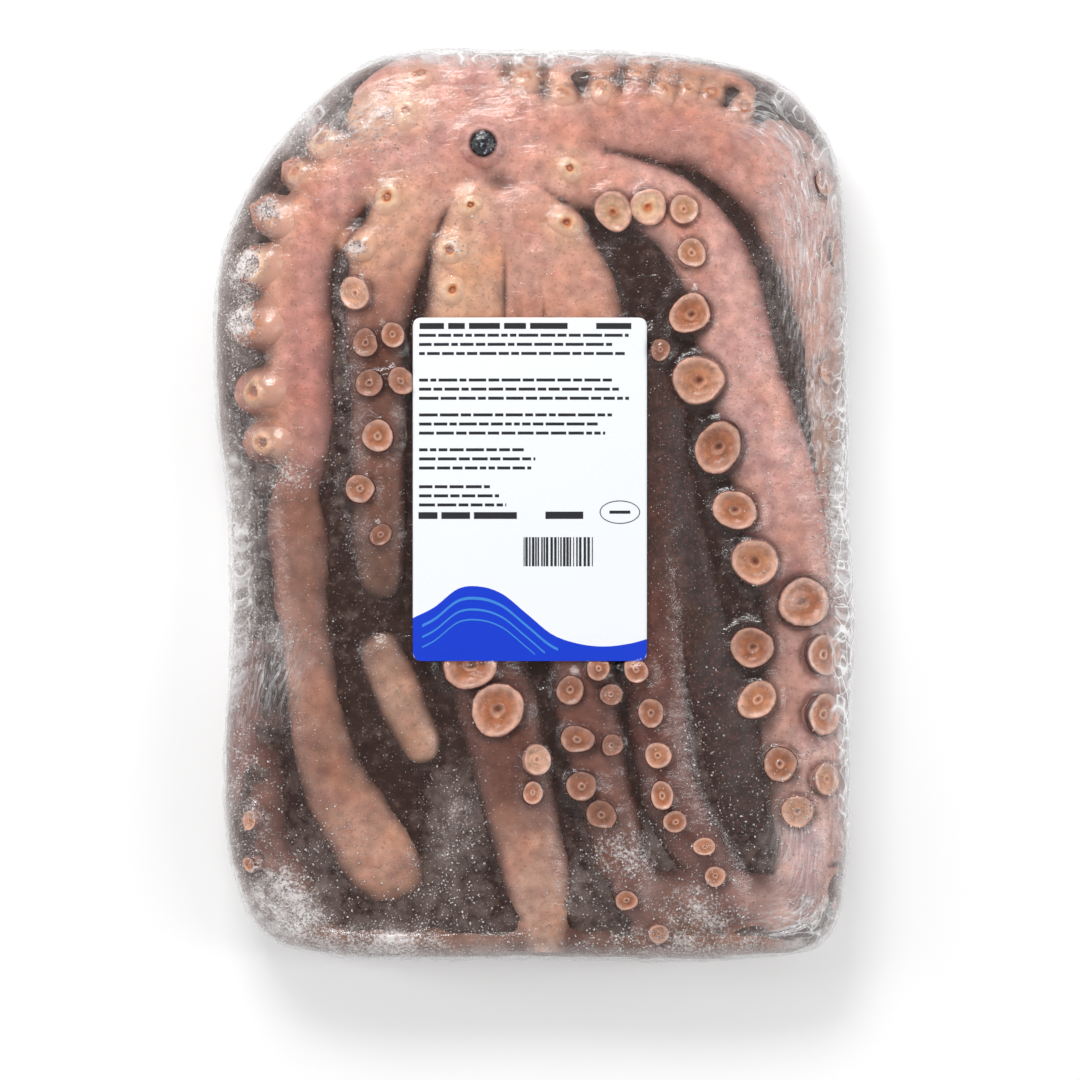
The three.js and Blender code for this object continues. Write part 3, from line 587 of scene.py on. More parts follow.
def skin_colours(points):
    """The colour of the skin at each point: each arm has its own, with painted shade in the creases where
    arms meet, on the arms' flanks, round the cups, between the lumps and deep in the gaps.
    """
    near, aside = {}, []
    for name, arm in arms.items():
        away, nearest = beside(arm, points[:, 0], points[:, 1])
        step = np.round(nearest).astype(int)
        rise = (points[:, 2] - arm["middle"][step, 2]) / arm["height"][step]
        near[name] = (np.hypot(away / arm["width"][step], rise), nearest / (len(arm["middle"]) - 1))
        aside.append(away / arm["width"][step])
    first, second = np.partition(aside, 1, axis=0)[:2]
    # Where two arms meet: the skin is carved down there, and darkened there as painted shade.
    crease = np.exp(-((second - first) / 0.16) ** 2) * smooth_step(0.5, 0.85, first)
    closest = np.min([distance for distance, _ in near.values()], axis=0)
    total = np.zeros((len(points), 3))
    weight = np.zeros(len(points))
    for name, (distance, share) in near.items():
        places, codes = zip(*ARMS[name]["skin"])
        colours = np.array([linear(code)[:3] for code in codes])
        own = np.column_stack([np.interp(share, places, channel) for channel in colours.T])
        part = np.exp(-((distance - closest) / 0.1) ** 2)
        total += own * part[:, None]
        weight += part
    colour = total / weight[:, None]
    for about in ARMS.values():
        for x, y, radius, _, tone, kind in about["cups"]:
            off = np.hypot(points[:, 0] - x, points[:, 1] - y) / radius
            if kind == "lump":
                colour = laid_over(colour, PALE_SEAT, 0.8 * (1 - tone) * np.exp(-(off / 1.4) ** 3))
            else:
                # Painted shadow: a dark ring in the skin just round each cup.
                colour = laid_over(colour, PAINTED_CUP_SHADOW, 0.75 * np.exp(-((off - 1.06) / 0.15) ** 2))
    # Painted shade: the skin darkens towards each arm's sides, where it turns away from the light.
    painted_flank_shade = smooth_step(0.5, 1.0, first)[:, None]
    colour = colour * (1 - painted_flank_shade * (0.3, 0.38, 0.34))
    # Painted shade in the hollows between the lumps at the arms' outer sides.
    colour = laid_over(colour, PAINTED_HOLLOW_SHADE, 0.8 * between_lumps(points))
    # Painted shade: the skin darkens towards the dark ice colour the deeper it lies under the lid.
    depth = lid_at(points) - points[:, 2]
    gap = smooth_step(3.2, 8.5, depth + 0.8 * soft_noise(points, 7, 31))
    # Painted shade in the creases where arms meet.
    colour = laid_over(colour, PAINTED_CREASE_SHADE, 0.6 * crease)
    return laid_over(colour, DARK_ICE_AND_DEPTH_SHADE, gap), crease


def skin_material(name):
    """Raw octopus skin: wet, smooth and soft, so it glows a little, with a fine pore and mottled pigment."""
    made, tree = new_material(name)
    place = add_node(tree, "ShaderNodeTexCoord").outputs["Object"]
    tint = add_node(tree, "ShaderNodeAttribute", attribute_name="tint").outputs["Color"]
    frost = add_node(tree, "ShaderNodeAttribute", attribute_name="frost").outputs["Fac"]
    blotch = add_node(tree, "ShaderNodeTexNoise", {
        "Vector": place, "Scale": 1 / (6 * MM), "Detail": 5.0, "Roughness": 0.62})
    shade = add_node(tree, "ShaderNodeMapRange", {
        "Value": blotch.outputs["Fac"], "From Min": 0.32, "From Max": 0.68, "To Min": 0.7, "To Max": 1.2})
    toned = add_node(tree, "ShaderNodeMix", {
        0: 1.0, 6: tint, 7: shade.outputs["Result"]}, data_type="RGBA", blend_type="MULTIPLY",
        clamp_result=False)
    warm = add_node(tree, "ShaderNodeTexNoise", {"Vector": place, "Scale": 1 / (17 * MM), "Detail": 3.0})
    warmth = add_node(tree, "ShaderNodeMapRange", {
        "Value": warm.outputs["Fac"], "From Min": 0.45, "From Max": 0.66, "To Max": 0.8})
    warmed = add_node(tree, "ShaderNodeMix", {
        0: warmth.outputs["Result"], 6: toned.outputs[2], 7: (1.05, 0.9, 0.78, 1)}, data_type="RGBA",
        blend_type="MULTIPLY")
    cool = add_node(tree, "ShaderNodeTexNoise", {"Vector": place, "Scale": 1 / (10 * MM), "Detail": 4.0})
    bruise = add_node(tree, "ShaderNodeMapRange", {
        "Value": cool.outputs["Fac"], "From Min": 0.5, "From Max": 0.68, "To Max": 0.7})
    blushed = add_node(tree, "ShaderNodeMix", {
        0: bruise.outputs["Result"], 6: warmed.outputs[2], 7: (0.8, 0.7, 0.74, 1)}, data_type="RGBA",
        blend_type="MULTIPLY")
    speck = add_node(tree, "ShaderNodeTexNoise", {
        "Vector": place, "Scale": 1 / (1.5 * MM), "Detail": 3.0, "Roughness": 0.7})
    dots = add_node(tree, "ShaderNodeMapRange", {
        "Value": speck.outputs["Fac"], "From Min": 0.5, "From Max": 0.7, "To Min": 0.0, "To Max": 0.55})
    speckled = add_node(tree, "ShaderNodeMix", {
        0: dots.outputs["Result"], 6: blushed.outputs[2], 7: linear("#7d4f42")}, data_type="RGBA")
    grain = add_node(tree, "ShaderNodeTexNoise", {
        "Vector": place, "Scale": 1 / (1.3 * MM), "Detail": 3.0, "Roughness": 0.7})
    patch = add_node(tree, "ShaderNodeMath", {0: frost, 1: 0.8}, operation="MULTIPLY")
    lifted = add_node(tree, "ShaderNodeMath", {0: patch.outputs[0], 1: grain.outputs["Fac"]}, operation="ADD")
    icy = add_node(tree, "ShaderNodeMapRange", {
        "Value": lifted.outputs[0], "From Min": 0.9, "From Max": 1.12, "To Max": 0.92})
    frosted = add_node(tree, "ShaderNodeMix", {
        0: icy.outputs["Result"], 6: speckled.outputs[2], 7: linear("#efe9e7")}, data_type="RGBA")
    rough = add_node(tree, "ShaderNodeMapRange", {
        "Value": icy.outputs["Result"], "To Min": 0.36, "To Max": 0.75})
    pore = add_node(tree, "ShaderNodeTexNoise", {"Vector": place, "Scale": 1 / (0.9 * MM), "Detail": 1.0})
    raised = add_node(tree, "ShaderNodeMath", {
        0: icy.outputs["Result"], 1: 2.5, 2: pore.outputs["Fac"]}, operation="MULTIPLY_ADD")
    bump = add_node(tree, "ShaderNodeBump", {
        "Height": raised.outputs[0], "Strength": 0.5, "Distance": 0.35 * MM})
    shader = add_node(tree, "ShaderNodeBsdfPrincipled", {
        "Base Color": frosted.outputs[2], "Roughness": rough.outputs["Result"],
        "Normal": bump.outputs["Normal"], "IOR": 1.25, "Subsurface Weight": 0.12,
        "Subsurface Radius": (1.0, 0.35, 0.2), "Subsurface Scale": 2.5 * MM})
    add_node(tree, "ShaderNodeOutputMaterial", {"Surface": shader.outputs[0]})
    return made


octopus_skin = skin_material("raw octopus skin, wet")
stubs = [stub_of(arms[name], cup) for name in ("outer_left", "outer_right") for cup in ARMS[name]["cups"]]
arms_piece = piece_of("arms", *flesh_of([*arms.values(), *stubs], SKIN_STEP, SKIN_BLEND))
settle(arms_piece, ("SMOOTH", {"factor": 0.5, "iterations": 2}))
skin_points = points_of(arms_piece)
skin_normals = points_of(arms_piece, "normal")
lump = 0.55 * soft_noise(skin_points, 13, 1) + 0.25 * soft_noise(skin_points, 5, 2)
fold = (1 - np.abs(soft_noise(skin_points, (9, 2.6, 5), 3))) ** 3 * soft_noise(skin_points, 20, 4)
skin_points = skin_points + skin_normals * (lump + 0.3 * fold)[:, None]
_, crease = skin_colours(skin_points)
hollow = between_lumps(skin_points)
skin_points[:, 2] -= (CREASE_DEPTH * crease + HOLLOW_DEPTH * hollow) * (skin_normals[:, 2] > 0)
for about in ARMS.values():
    for x, y, radius, _, _, kind in about["cups"]:
        depth, reach = CUP_BEDS[kind]
        near_cup = np.exp(-(np.hypot(skin_points[:, 0] - x, skin_points[:, 1] - y) / (reach * radius)) ** 6)
        rise = np.clip(lid_at(skin_points) - depth * radius - skin_points[:, 2], -radius, 0.8 * radius)
        skin_points[:, 2] += near_cup * rise * (skin_normals[:, 2] > 0.05)
place_points(arms_piece, pressed(skin_points, gap=1.3))
settle(arms_piece, ("DECIMATE", {"ratio": min(1, SKIN_FACES / (2 * len(arms_piece.data.polygons)))}))
skin_points = points_of(arms_piece)
tint, _ = skin_colours(skin_points)
give_tint(arms_piece, tint)
give_attribute(arms_piece, "frost", frost_at(skin_points) + 0.12 * between_lumps(skin_points))
arms_piece.data.materials.append(octopus_skin)
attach(arms_piece, "root")
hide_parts("octopus_pack")

# The back
# The mantle and the far sides of the arms, pressed flat on the tray. The same flesh, paler under the mantle.
# Guessed, as the pack hides it.
BACK_HEIGHT = 11
BACK_LIFT = 9.5
BACK_LIFTED = 0.6  # room for the film under the flesh
BACK_ROUTES = {
    "mantle": [(0, 84, 20), (0, 66, 44), (0, 30, 54), (0, -10, 50), (0, -44, 34), (0, -58, 16)],
    "back_left": [(-34, 150, 12), (-72, 128, 16), (-92, 84, 18), (-94, 20, 18), (-92, -50, 17),
                  (-84, -110, 16), (-60, -150, 13)],
    "back_right": [(34, 152, 12), (74, 128, 16), (94, 84, 18), (96, 20, 18), (96, -50, 17), (88, -110, 16),
                   (66, -150, 13)],
    "back_inner_left": [(-58, 96, 10), (-64, 40, 12), (-62, -30, 14), (-52, -90, 15), (-34, -140, 13)],
    "back_inner_right": [(58, 98, 10), (66, 44, 12), (64, -30, 14), (54, -92, 15), (34, -142, 13)],
    "back_middle": [(0, -66, 14), (-4, -100, 17), (-2, -150, 15)],
    "back_top": [(-36, 152, 13), (0, 116, 15), (36, 154, 13)],
}
BACK_SKIN = "#a8766a"
MANTLE_SKIN = "#c39a8c"
BACK_STEP = 2

back_arms = [arm_of(route, lift=BACK_LIFT, half_height=BACK_HEIGHT) for route in BACK_ROUTES.values()]
back_piece = piece_of("mantle_and_back", *flesh_of(back_arms, BACK_STEP, SKIN_BLEND))
settle(back_piece, ("SMOOTH", {"factor": 0.5, "iterations": 2}))
back_points = points_of(back_piece)
back_normals = points_of(back_piece, "normal")
back_lump = 0.6 * soft_noise(back_points, 12, 11) + 0.3 * soft_noise(back_points, (4, 11, 5), 12)
back_points = pressed(back_points + back_normals * back_lump[:, None])
back_points[:, 2] = np.maximum(back_points[:, 2], BACK_LIFTED)
place_points(back_piece, back_points)
over_mantle = smooth_step(1.05, 0.8, np.hypot(back_points[:, 0] / 54, (back_points[:, 1] - 20) / 76))
back_colour = laid_over(np.array(linear(BACK_SKIN)[:3]), MANTLE_SKIN, over_mantle)
# Painted shade: the back darkens towards the dark ice colour where it rises between the arms, away from the
# rim.
back_gap_shade = smooth_step(3, 10, back_points[:, 2]) * smooth_step(3, 14, inset_of(back_points))
give_tint(back_piece, laid_over(back_colour, DARK_ICE_AND_DEPTH_SHADE, back_gap_shade))
give_attribute(back_piece, "frost", frost_at(back_points))
back_piece.data.materials.append(octopus_skin)
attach(back_piece, "root")
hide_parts("octopus_pack")

# The suckers
# Two rows of soft cups along each arm, largest in its middle. Each is a short stalk with a thin rim, a ridged
# funnel and a hole with a ring round it. They are set out from three cups that differ a little.
CUP_SIDES = 36
CUP_RIDGES = 17
# A cup's half section in shares of its radius, from its hole to its foot: (radius, height, depth of ridges).
CUP_PROFILES = {
    "flat": [(0.02, -0.1, 0), (0.08, -0.09, 0), (0.13, -0.02, 0), (0.19, 0.02, 0), (0.25, -0.02, 0),
             (0.3, -0.07, 0), (0.4, -0.07, 0.5), (0.52, -0.05, 1), (0.64, -0.02, 1), (0.75, 0.02, 0.8),
             (0.83, 0.07, 0.4), (0.9, 0.1, 0), (0.96, 0.06, 0), (1.0, -0.03, 0), (0.99, -0.16, 0),
             (0.92, -0.3, 0), (0.87, -0.5, 0), (0.9, -0.8, 0), (1.0, -1.2, 0)],
    "deep": [(0.02, -0.42, 0), (0.1, -0.41, 0), (0.17, -0.34, 0), (0.21, -0.2, 0), (0.26, -0.13, 0),
             (0.33, -0.13, 0.2), (0.44, -0.13, 0.7), (0.55, -0.09, 1), (0.65, -0.02, 1), (0.74, 0.06, 0.8),
             (0.82, 0.14, 0.4), (0.89, 0.17, 0), (0.95, 0.13, 0), (1.0, 0.02, 0), (1.0, -0.14, 0),
             (0.93, -0.3, 0), (0.87, -0.5, 0), (0.9, -0.8, 0), (1.0, -1.2, 0)],
    "lump": [(0.02, -0.26, 0), (0.09, -0.24, 0), (0.15, -0.17, 0), (0.2, -0.07, 0), (0.25, 0.01, 0),
             (0.31, 0.05, 0), (0.38, 0.06, 0.1), (0.45, 0.03, 0.2), (0.55, -0.02, 0.2), (0.65, -0.08, 0.1),
             (0.75, -0.16, 0), (0.84, -0.25, 0), (0.92, -0.36, 0), (0.98, -0.48, 0), (1.03, -0.62, 0),
             (1.07, -0.78, 0), (1.1, -0.95, 0), (1.12, -1.1, 0), (1.14, -1.3, 0)],
}
# How uneven its rim is, as (turn, oval, wave), and how far its middle lies under the lid, by its radius.
CUP_RIMS = {"flat": (0.0, 0.04, 0.02), "deep": (1.9, 0.05, 0.05), "lump": (4.1, 0.07, 0.06)}
CUP_SINK = {"flat": 0.07, "deep": 0.12, "lump": 0.06}
CUP_SEED = 7


def ring_faces(rings, sides):
    """Four-sided faces between rings of points that lie one after the other."""
    faces = []
    for i in range(rings - 1):
        for j in range(sides):
            a, b = i * sides + j, i * sides + (j + 1) % sides
            faces.append((a, b, b + sides, a + sides))
    return faces


def cup_of(profile, turn, oval, wave):
    """Points and faces of a cup of radius 1, open along +Z."""
    around = 2 * np.pi * np.arange(CUP_SIDES) / CUP_SIDES
    rings = []
    for radius, height, ridge in profile:
        bent = radius * (1 + oval * np.cos(2 * around + turn) + 0.5 * oval * np.cos(3 * around - turn))
        level = height + 0.04 * ridge * np.cos(CUP_RIDGES * around)
        level = level + wave * radius * np.cos(2 * around - 2 * turn)
        rings.append(np.column_stack([bent * np.cos(around), bent * np.sin(around), level]))
    faces = [face[::-1] for face in ring_faces(len(rings), CUP_SIDES)]
    points = np.vstack(rings + [[(0, 0, profile[0][1])], [(0, 0, profile[-1][1])]])
    middle, foot = len(points) - 2, len(points) - 1
    last = (len(rings) - 1) * CUP_SIDES
    for j in range(CUP_SIDES):
        faces.append((middle, j, (j + 1) % CUP_SIDES))
        faces.append((foot, last + (j + 1) % CUP_SIDES, last + j))
    return points, faces


def new_tree(name, sockets):
    """A geometry node tree with named inputs, and its input and output nodes."""
    tree = bpy.data.node_groups.new(name, "GeometryNodeTree")
    tree.interface.new_socket("Geometry", in_out="INPUT", socket_type="NodeSocketGeometry")
    for socket, kind in sockets.items():
        tree.interface.new_socket(socket, in_out="INPUT", socket_type=kind)
    tree.interface.new_socket("Geometry", in_out="OUTPUT", socket_type="NodeSocketGeometry")
    return tree, add_node(tree, "NodeGroupInput")


def grow(piece, tree, values):
    """Runs a node tree with the given inputs on a piece, and leaves it a plain mesh."""
    modifier = piece.modifiers.new(tree.name, "NODES")
    modifier.node_group = tree
    names = {item.name: item.identifier for item in tree.interface.items_tree if item.in_out == "INPUT"}
    for name, value in values.items():
        modifier[names[name]] = value
    settle(piece)


def cup_material():
    """Sucker flesh: wet and soft, orange in the funnel, with a dark hole, a pale thin rim and a painted
    shadow round its outer edge.
    """
    made, tree = new_material("sucker flesh, wet")
    place = add_node(tree, "ShaderNodeTexCoord").outputs["Object"]
    ring = add_node(tree, "ShaderNodeAttribute", attribute_name="ring").outputs["Fac"]
    tone = add_node(tree, "ShaderNodeAttribute", attribute_name="tone").outputs["Fac"]
    frost = add_node(tree, "ShaderNodeAttribute", attribute_name="frost").outputs["Fac"]
    wobble = add_node(tree, "ShaderNodeTexNoise", {"Vector": place, "Scale": 1 / (2.2 * MM), "Detail": 4.0})
    shift = add_node(tree, "ShaderNodeMath", {
        0: wobble.outputs["Fac"], 1: 0.1, 2: ring}, operation="MULTIPLY_ADD")
    pale = add_node(tree, "ShaderNodeValToRGB", {"Fac": shift.outputs[0]}, stops=[
        (0.05, "#b0562c"), (0.24, "#c8743f"), (0.33, "#e0a981"), (0.5, "#e8c3a2"), (0.8, "#e2b598"),
        (1.0, "#d8a593")])
    # Past the rim, from a ring of 1 on, the orange and brown ramps darken to a painted shadow round the cup's
    # edge.
    orange = add_node(tree, "ShaderNodeValToRGB", {"Fac": shift.outputs[0]}, stops=[
        (0.05, "#8a5038"), (0.14, "#b47a5e"), (0.24, "#e0b297"), (0.34, "#b06c4a"), (0.55, "#bd7853"),
        (0.7, "#c3866a"), (0.84, "#d8aa95"), (0.95, "#cfa18f"), (1.01, "#7a4b3e"), (1.06, "#55302a")])
    brown = add_node(tree, "ShaderNodeValToRGB", {"Fac": shift.outputs[0]}, stops=[
        (0.05, "#6f4437"), (0.14, "#8a5a4a"), (0.24, "#b98b77"), (0.34, "#8b5945"), (0.55, "#96644f"),
        (0.8, "#9f6f5c"), (0.92, "#a27664"), (1.01, "#5a382f"), (1.06, "#3c2420")])
    low = add_node(tree, "ShaderNodeMapRange", {"Value": tone, "To Max": 1.0, "From Max": 0.5})
    high = add_node(tree, "ShaderNodeMapRange", {"Value": tone, "From Min": 0.5, "From Max": 1.0})
    first = add_node(tree, "ShaderNodeMix", {
        0: low.outputs[0], 6: pale.outputs[0], 7: orange.outputs[0]}, data_type="RGBA")
    flesh = add_node(tree, "ShaderNodeMix", {
        0: high.outputs[0], 6: first.outputs[2], 7: brown.outputs[0]}, data_type="RGBA")
    tint = add_node(tree, "ShaderNodeAttribute", attribute_name="tint").outputs["Color"]
    blotch = add_node(tree, "ShaderNodeTexNoise", {"Vector": place, "Scale": 1 / (3 * MM), "Detail": 4.0})
    shade = add_node(tree, "ShaderNodeMapRange", {
        "Value": blotch.outputs["Fac"], "From Min": 0.3, "From Max": 0.7, "To Min": 0.7, "To Max": 1.22})
    mottled = add_node(tree, "ShaderNodeMix", {
        0: 1.0, 6: flesh.outputs[2], 7: shade.outputs[0]}, data_type="RGBA", blend_type="MULTIPLY")
    foot = add_node(tree, "ShaderNodeAttribute", attribute_name="foot").outputs["Fac"]
    second = add_node(tree, "ShaderNodeMix", {0: foot, 6: mottled.outputs[2], 7: tint}, data_type="RGBA")
    grain = add_node(tree, "ShaderNodeTexNoise", {
        "Vector": place, "Scale": 1 / (1.2 * MM), "Detail": 3.0, "Roughness": 0.7})
    lifted = add_node(tree, "ShaderNodeMath", {0: frost, 1: grain.outputs["Fac"]}, operation="ADD")
    icy = add_node(tree, "ShaderNodeMapRange", {
        "Value": lifted.outputs[0], "From Min": 0.92, "From Max": 1.15, "To Max": 0.8})
    frosted = add_node(tree, "ShaderNodeMix", {
        0: icy.outputs[0], 6: second.outputs[2], 7: linear("#ded6d4")}, data_type="RGBA")
    bump = add_node(tree, "ShaderNodeBump", {
        "Height": grain.outputs["Fac"], "Strength": 0.4, "Distance": 0.2 * MM})
    shader = add_node(tree, "ShaderNodeBsdfPrincipled", {
        "Base Color": frosted.outputs[2], "Roughness": 0.24, "Normal": bump.outputs["Normal"], "IOR": 1.42,
        "Subsurface Weight": 0.12, "Subsurface Radius": (1.0, 0.4, 0.25), "Subsurface Scale": 2 * MM})
    add_node(tree, "ShaderNodeOutputMaterial", {"Surface": shader.outputs[0]})
    return made


def cup_seats(wanted):
    """Where each cup of a kind stands, its turn, its size and its tone, from the arm that it belongs to."""
    draw = np.random.default_rng(CUP_SEED)
    seats = []
    for name, about in ARMS.items():
        middle, across = arms[name]["middle"], arms[name]["across"]
        for x, y, radius, lean, tone, kind in about["cups"]:
            spin, stretch, tall, shade = draw.uniform((0, 0.93, 0.85, -0.18), (2 * math.pi, 1.07, 1.15, 0.18))
            if kind != wanted:
                continue
            step = int(np.argmin(np.hypot(middle[:, 0] - x, middle[:, 1] - y)))
            side = float((np.array([x, y]) - middle[step, :2]) @ across[step])
            reach = 0.6 * radius
            round_it = [(x + reach, y), (x - reach, y), (x, y + reach), (x, y - reach)]
            east, west, north, south = lid_at(np.array(round_it))
            slope = np.array([east - west, north - south]) / (2 * reach)
            facing = Vector((*(lean * np.sign(side) * across[step] - slope), 1)).normalized()
            turn = facing.to_track_quat("Z", "Y") @ Quaternion((0, 0, 1), spin)
            z = (east + west + north + south) / 4 - (CUP_SINK[kind] + 0.2 * lean) * radius
            size = (radius * stretch * MM, radius / stretch * MM, radius * tall * MM)
            seats.append(((x, y, z), tuple(turn.to_euler()), size, min(1, max(0, tone + shade))))
    return seats


cups_tree, cups_in = new_tree("Cups on the arms", {
    "Cup": "NodeSocketObject", "Material": "NodeSocketMaterial"})
one_cup = add_node(cups_tree, "GeometryNodeObjectInfo", {
    "Object": cups_in.outputs["Cup"], "As Instance": True})
turn = add_node(cups_tree, "GeometryNodeInputNamedAttribute", {"Name": "turn"}, data_type="FLOAT_VECTOR")
size = add_node(cups_tree, "GeometryNodeInputNamedAttribute", {"Name": "size"}, data_type="FLOAT_VECTOR")
set_out = add_node(cups_tree, "GeometryNodeInstanceOnPoints", {
    "Points": cups_in.outputs["Geometry"], "Instance": one_cup.outputs["Geometry"],
    "Rotation": turn.outputs[0], "Scale": size.outputs[0]})
real = add_node(cups_tree, "GeometryNodeRealizeInstances", {"Geometry": set_out.outputs[0]})
dressed = add_node(cups_tree, "GeometryNodeSetMaterial", {
    "Geometry": real.outputs[0], "Material": cups_in.outputs["Material"]})
add_node(cups_tree, "NodeGroupOutput", {"Geometry": dressed.outputs[0]})

sucker_flesh = cup_material()
cups_pieces = []
for kind, profile in CUP_PROFILES.items():
    cup = piece_of("cup", *cup_of(profile, *CUP_RIMS[kind]))
    cup.data.transform(Matrix.Scale(1 / MM, 4))
    radii = np.repeat([row[0] for row in profile], CUP_SIDES).tolist() + [0, 1]
    depths = np.repeat([row[1] for row in profile], CUP_SIDES).tolist() + [0, -1]
    give_attribute(cup, "ring", radii)
    if kind == "lump":
        give_attribute(cup, "foot", smooth_step(0.35, 0.8, np.array(radii)))
    else:
        give_attribute(cup, "foot", smooth_step(0.1, 0.5, -np.array(depths)) * (np.array(radii) > 0.6))
    bpy.context.collection.objects.unlink(cup)
    seats = cup_seats(kind)
    cups_piece = piece_of(f"suckers_{kind}", [seat[0] for seat in seats], [])
    give_attribute(cups_piece, "turn", [seat[1] for seat in seats], "FLOAT_VECTOR")
    give_attribute(cups_piece, "size", [seat[2] for seat in seats], "FLOAT_VECTOR")
    give_attribute(cups_piece, "tone", [seat[3] for seat in seats])
    grow(cups_piece, cups_tree, {"Cup": cup, "Material": sucker_flesh})
    bpy.data.objects.remove(cup)
    cup_points = points_of(cups_piece)
    uneven = np.column_stack([soft_noise(cup_points, 6, 81 + axis) for axis in range(3)])
    cup_points = pressed(cup_points + uneven * (0.5, 0.5, 0.35), gap=0.8)
    place_points(cups_piece, cup_points)
    give_attribute(cups_piece, "frost", 0.85 * frost_at(cup_points))
    give_tint(cups_piece, skin_colours(cup_points)[0])
    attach(cups_piece, "root")
    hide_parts("octopus_pack")
    cups_pieces.append(cups_piece)

# The ice
# Water frozen between and round the arms, flush with the film at the rim, drawn opaque. Deep in the gaps its
# dark colour is partly the dark skin under it and partly painted shade of the clear depth, and it is white
# with air and frost towards the rim.
ICE_DEPTH = 7.5  # how far its top lies below the arms'
ICE_INSET = 1.2
ICE_RINGS = 90
ICE_FOOT = 1.4  # how high its underside lies
RIM_ICE = "#97807a"
ICE_SIDE = [(12.5, 1.4), (7, 2.2), (3, 5.5), (0.6, 12), (0, 18), (0.5, 25), (2.5, 31), (5.5, 34.5)]


def shell_rings(side, rings, height_at, foot_at):
    """Rings of a closed shell on the pack's outline: its foot, its side and its top, from below to above."""
    reach = np.hypot(rim[:, 0], rim[:, 1])
    side_curve = curve_through(side, 1.2)
    rows = []
    for share in np.linspace(0.02, 1, rings // 3, endpoint=False):
        points = rim * (share * (1 - side[0][0] / reach))[:, None]
        rows.append(np.column_stack([points, foot_at(points)]))
    for inset, height in side_curve[:-1]:
        points = rim * (1 - inset / reach)[:, None]
        rows.append(np.column_stack([points, np.full(len(points), height)]))
    for share in np.linspace(1, 0.01, rings):
        points = rim * (share * (1 - side[-1][0] / reach))[:, None]
        rows.append(np.column_stack([points, height_at(points)]))
    return rows


def shell_of(rows):
    """Points and faces of a shell, closed with a fan at both ends."""
    sides = len(rows[0])
    points = np.vstack(rows + [rows[0].mean(axis=0), rows[-1].mean(axis=0)])
    faces = ring_faces(len(rows), sides)
    low, high, last = len(points) - 2, len(points) - 1, (len(rows) - 1) * sides
    for j in range(sides):
        faces.append((low, (j + 1) % sides, j))
        faces.append((high, last + j, last + (j + 1) % sides))
    return points, faces


def ice_material():
    """Ice with air in it: dark where it is deep, partly painted shade of its clear depth, and cloudy white
    with fine cracks towards the rim.
    """
    made, tree = new_material("cloudy ice")
    place = add_node(tree, "ShaderNodeTexCoord").outputs["Object"]
    tint = add_node(tree, "ShaderNodeAttribute", attribute_name="tint").outputs["Color"]
    frost = add_node(tree, "ShaderNodeAttribute", attribute_name="frost").outputs["Fac"]
    cloud = add_node(tree, "ShaderNodeTexNoise", {
        "Vector": place, "Scale": 1 / (5 * MM), "Detail": 5.0, "Roughness": 0.7})
    shade = add_node(tree, "ShaderNodeMapRange", {
        "Value": cloud.outputs["Fac"], "From Min": 0.3, "From Max": 0.7, "To Min": 0.6, "To Max": 1.4})
    deep = add_node(tree, "ShaderNodeMix", {
        0: 1.0, 6: tint, 7: shade.outputs["Result"]}, data_type="RGBA", blend_type="MULTIPLY")
    smoke = add_node(tree, "ShaderNodeMath", {
        0: cloud.outputs["Fac"], 1: 1.4, 2: frost}, operation="MULTIPLY_ADD")
    smoky = add_node(tree, "ShaderNodeMapRange", {
        "Value": smoke.outputs[0], "From Min": 0.75, "From Max": 1.5, "To Max": 0.75})
    toned = add_node(tree, "ShaderNodeMix", {
        0: smoky.outputs[0], 6: deep.outputs[2], 7: linear("#95847d")}, data_type="RGBA")
    grain = add_node(tree, "ShaderNodeTexNoise", {
        "Vector": place, "Scale": 1 / (1.0 * MM), "Detail": 3.0, "Roughness": 0.8})
    lifted = add_node(tree, "ShaderNodeMath", {
        0: frost, 1: 0.7, 2: grain.outputs["Fac"]}, operation="MULTIPLY_ADD")
    icy = add_node(tree, "ShaderNodeMapRange", {
        "Value": lifted.outputs[0], "From Min": 0.88, "From Max": 1.08, "To Max": 0.9})
    rime = add_node(tree, "ShaderNodeTexNoise", {
        "Vector": place, "Scale": 1 / (3.5 * MM), "Detail": 5.0, "Roughness": 0.7})
    white = add_node(tree, "ShaderNodeValToRGB", {"Fac": rime.outputs["Fac"]}, stops=[
        (0.38, "#87756f"), (0.5, "#c9bdba"), (0.6, "#f6f2f1")])
    frosted = add_node(tree, "ShaderNodeMix", {
        0: icy.outputs[0], 6: toned.outputs[2], 7: white.outputs[0]}, data_type="RGBA")
    bump = add_node(tree, "ShaderNodeBump", {
        "Height": grain.outputs["Fac"], "Strength": 0.6, "Distance": 0.5 * MM})
    shader = add_node(tree, "ShaderNodeBsdfPrincipled", {
        "Base Color": frosted.outputs[2], "Roughness": 0.35, "Normal": bump.outputs["Normal"], "IOR": 1.2})
    add_node(tree, "ShaderNodeOutputMaterial", {"Surface": shader.outputs[0]})
    return made


def ice_height(points):
    level = np.column_stack([points, np.zeros(len(points))])
    depth = np.interp(inset_of(level), (0, 6, 30), (2.5, 3, ICE_DEPTH))
    return lid_at(level) - depth + 0.7 * soft_noise(level, 8, 21) + 0.3 * soft_noise(level, 3, 22)


def ice_foot(points):
    return np.full(len(points), ICE_FOOT)


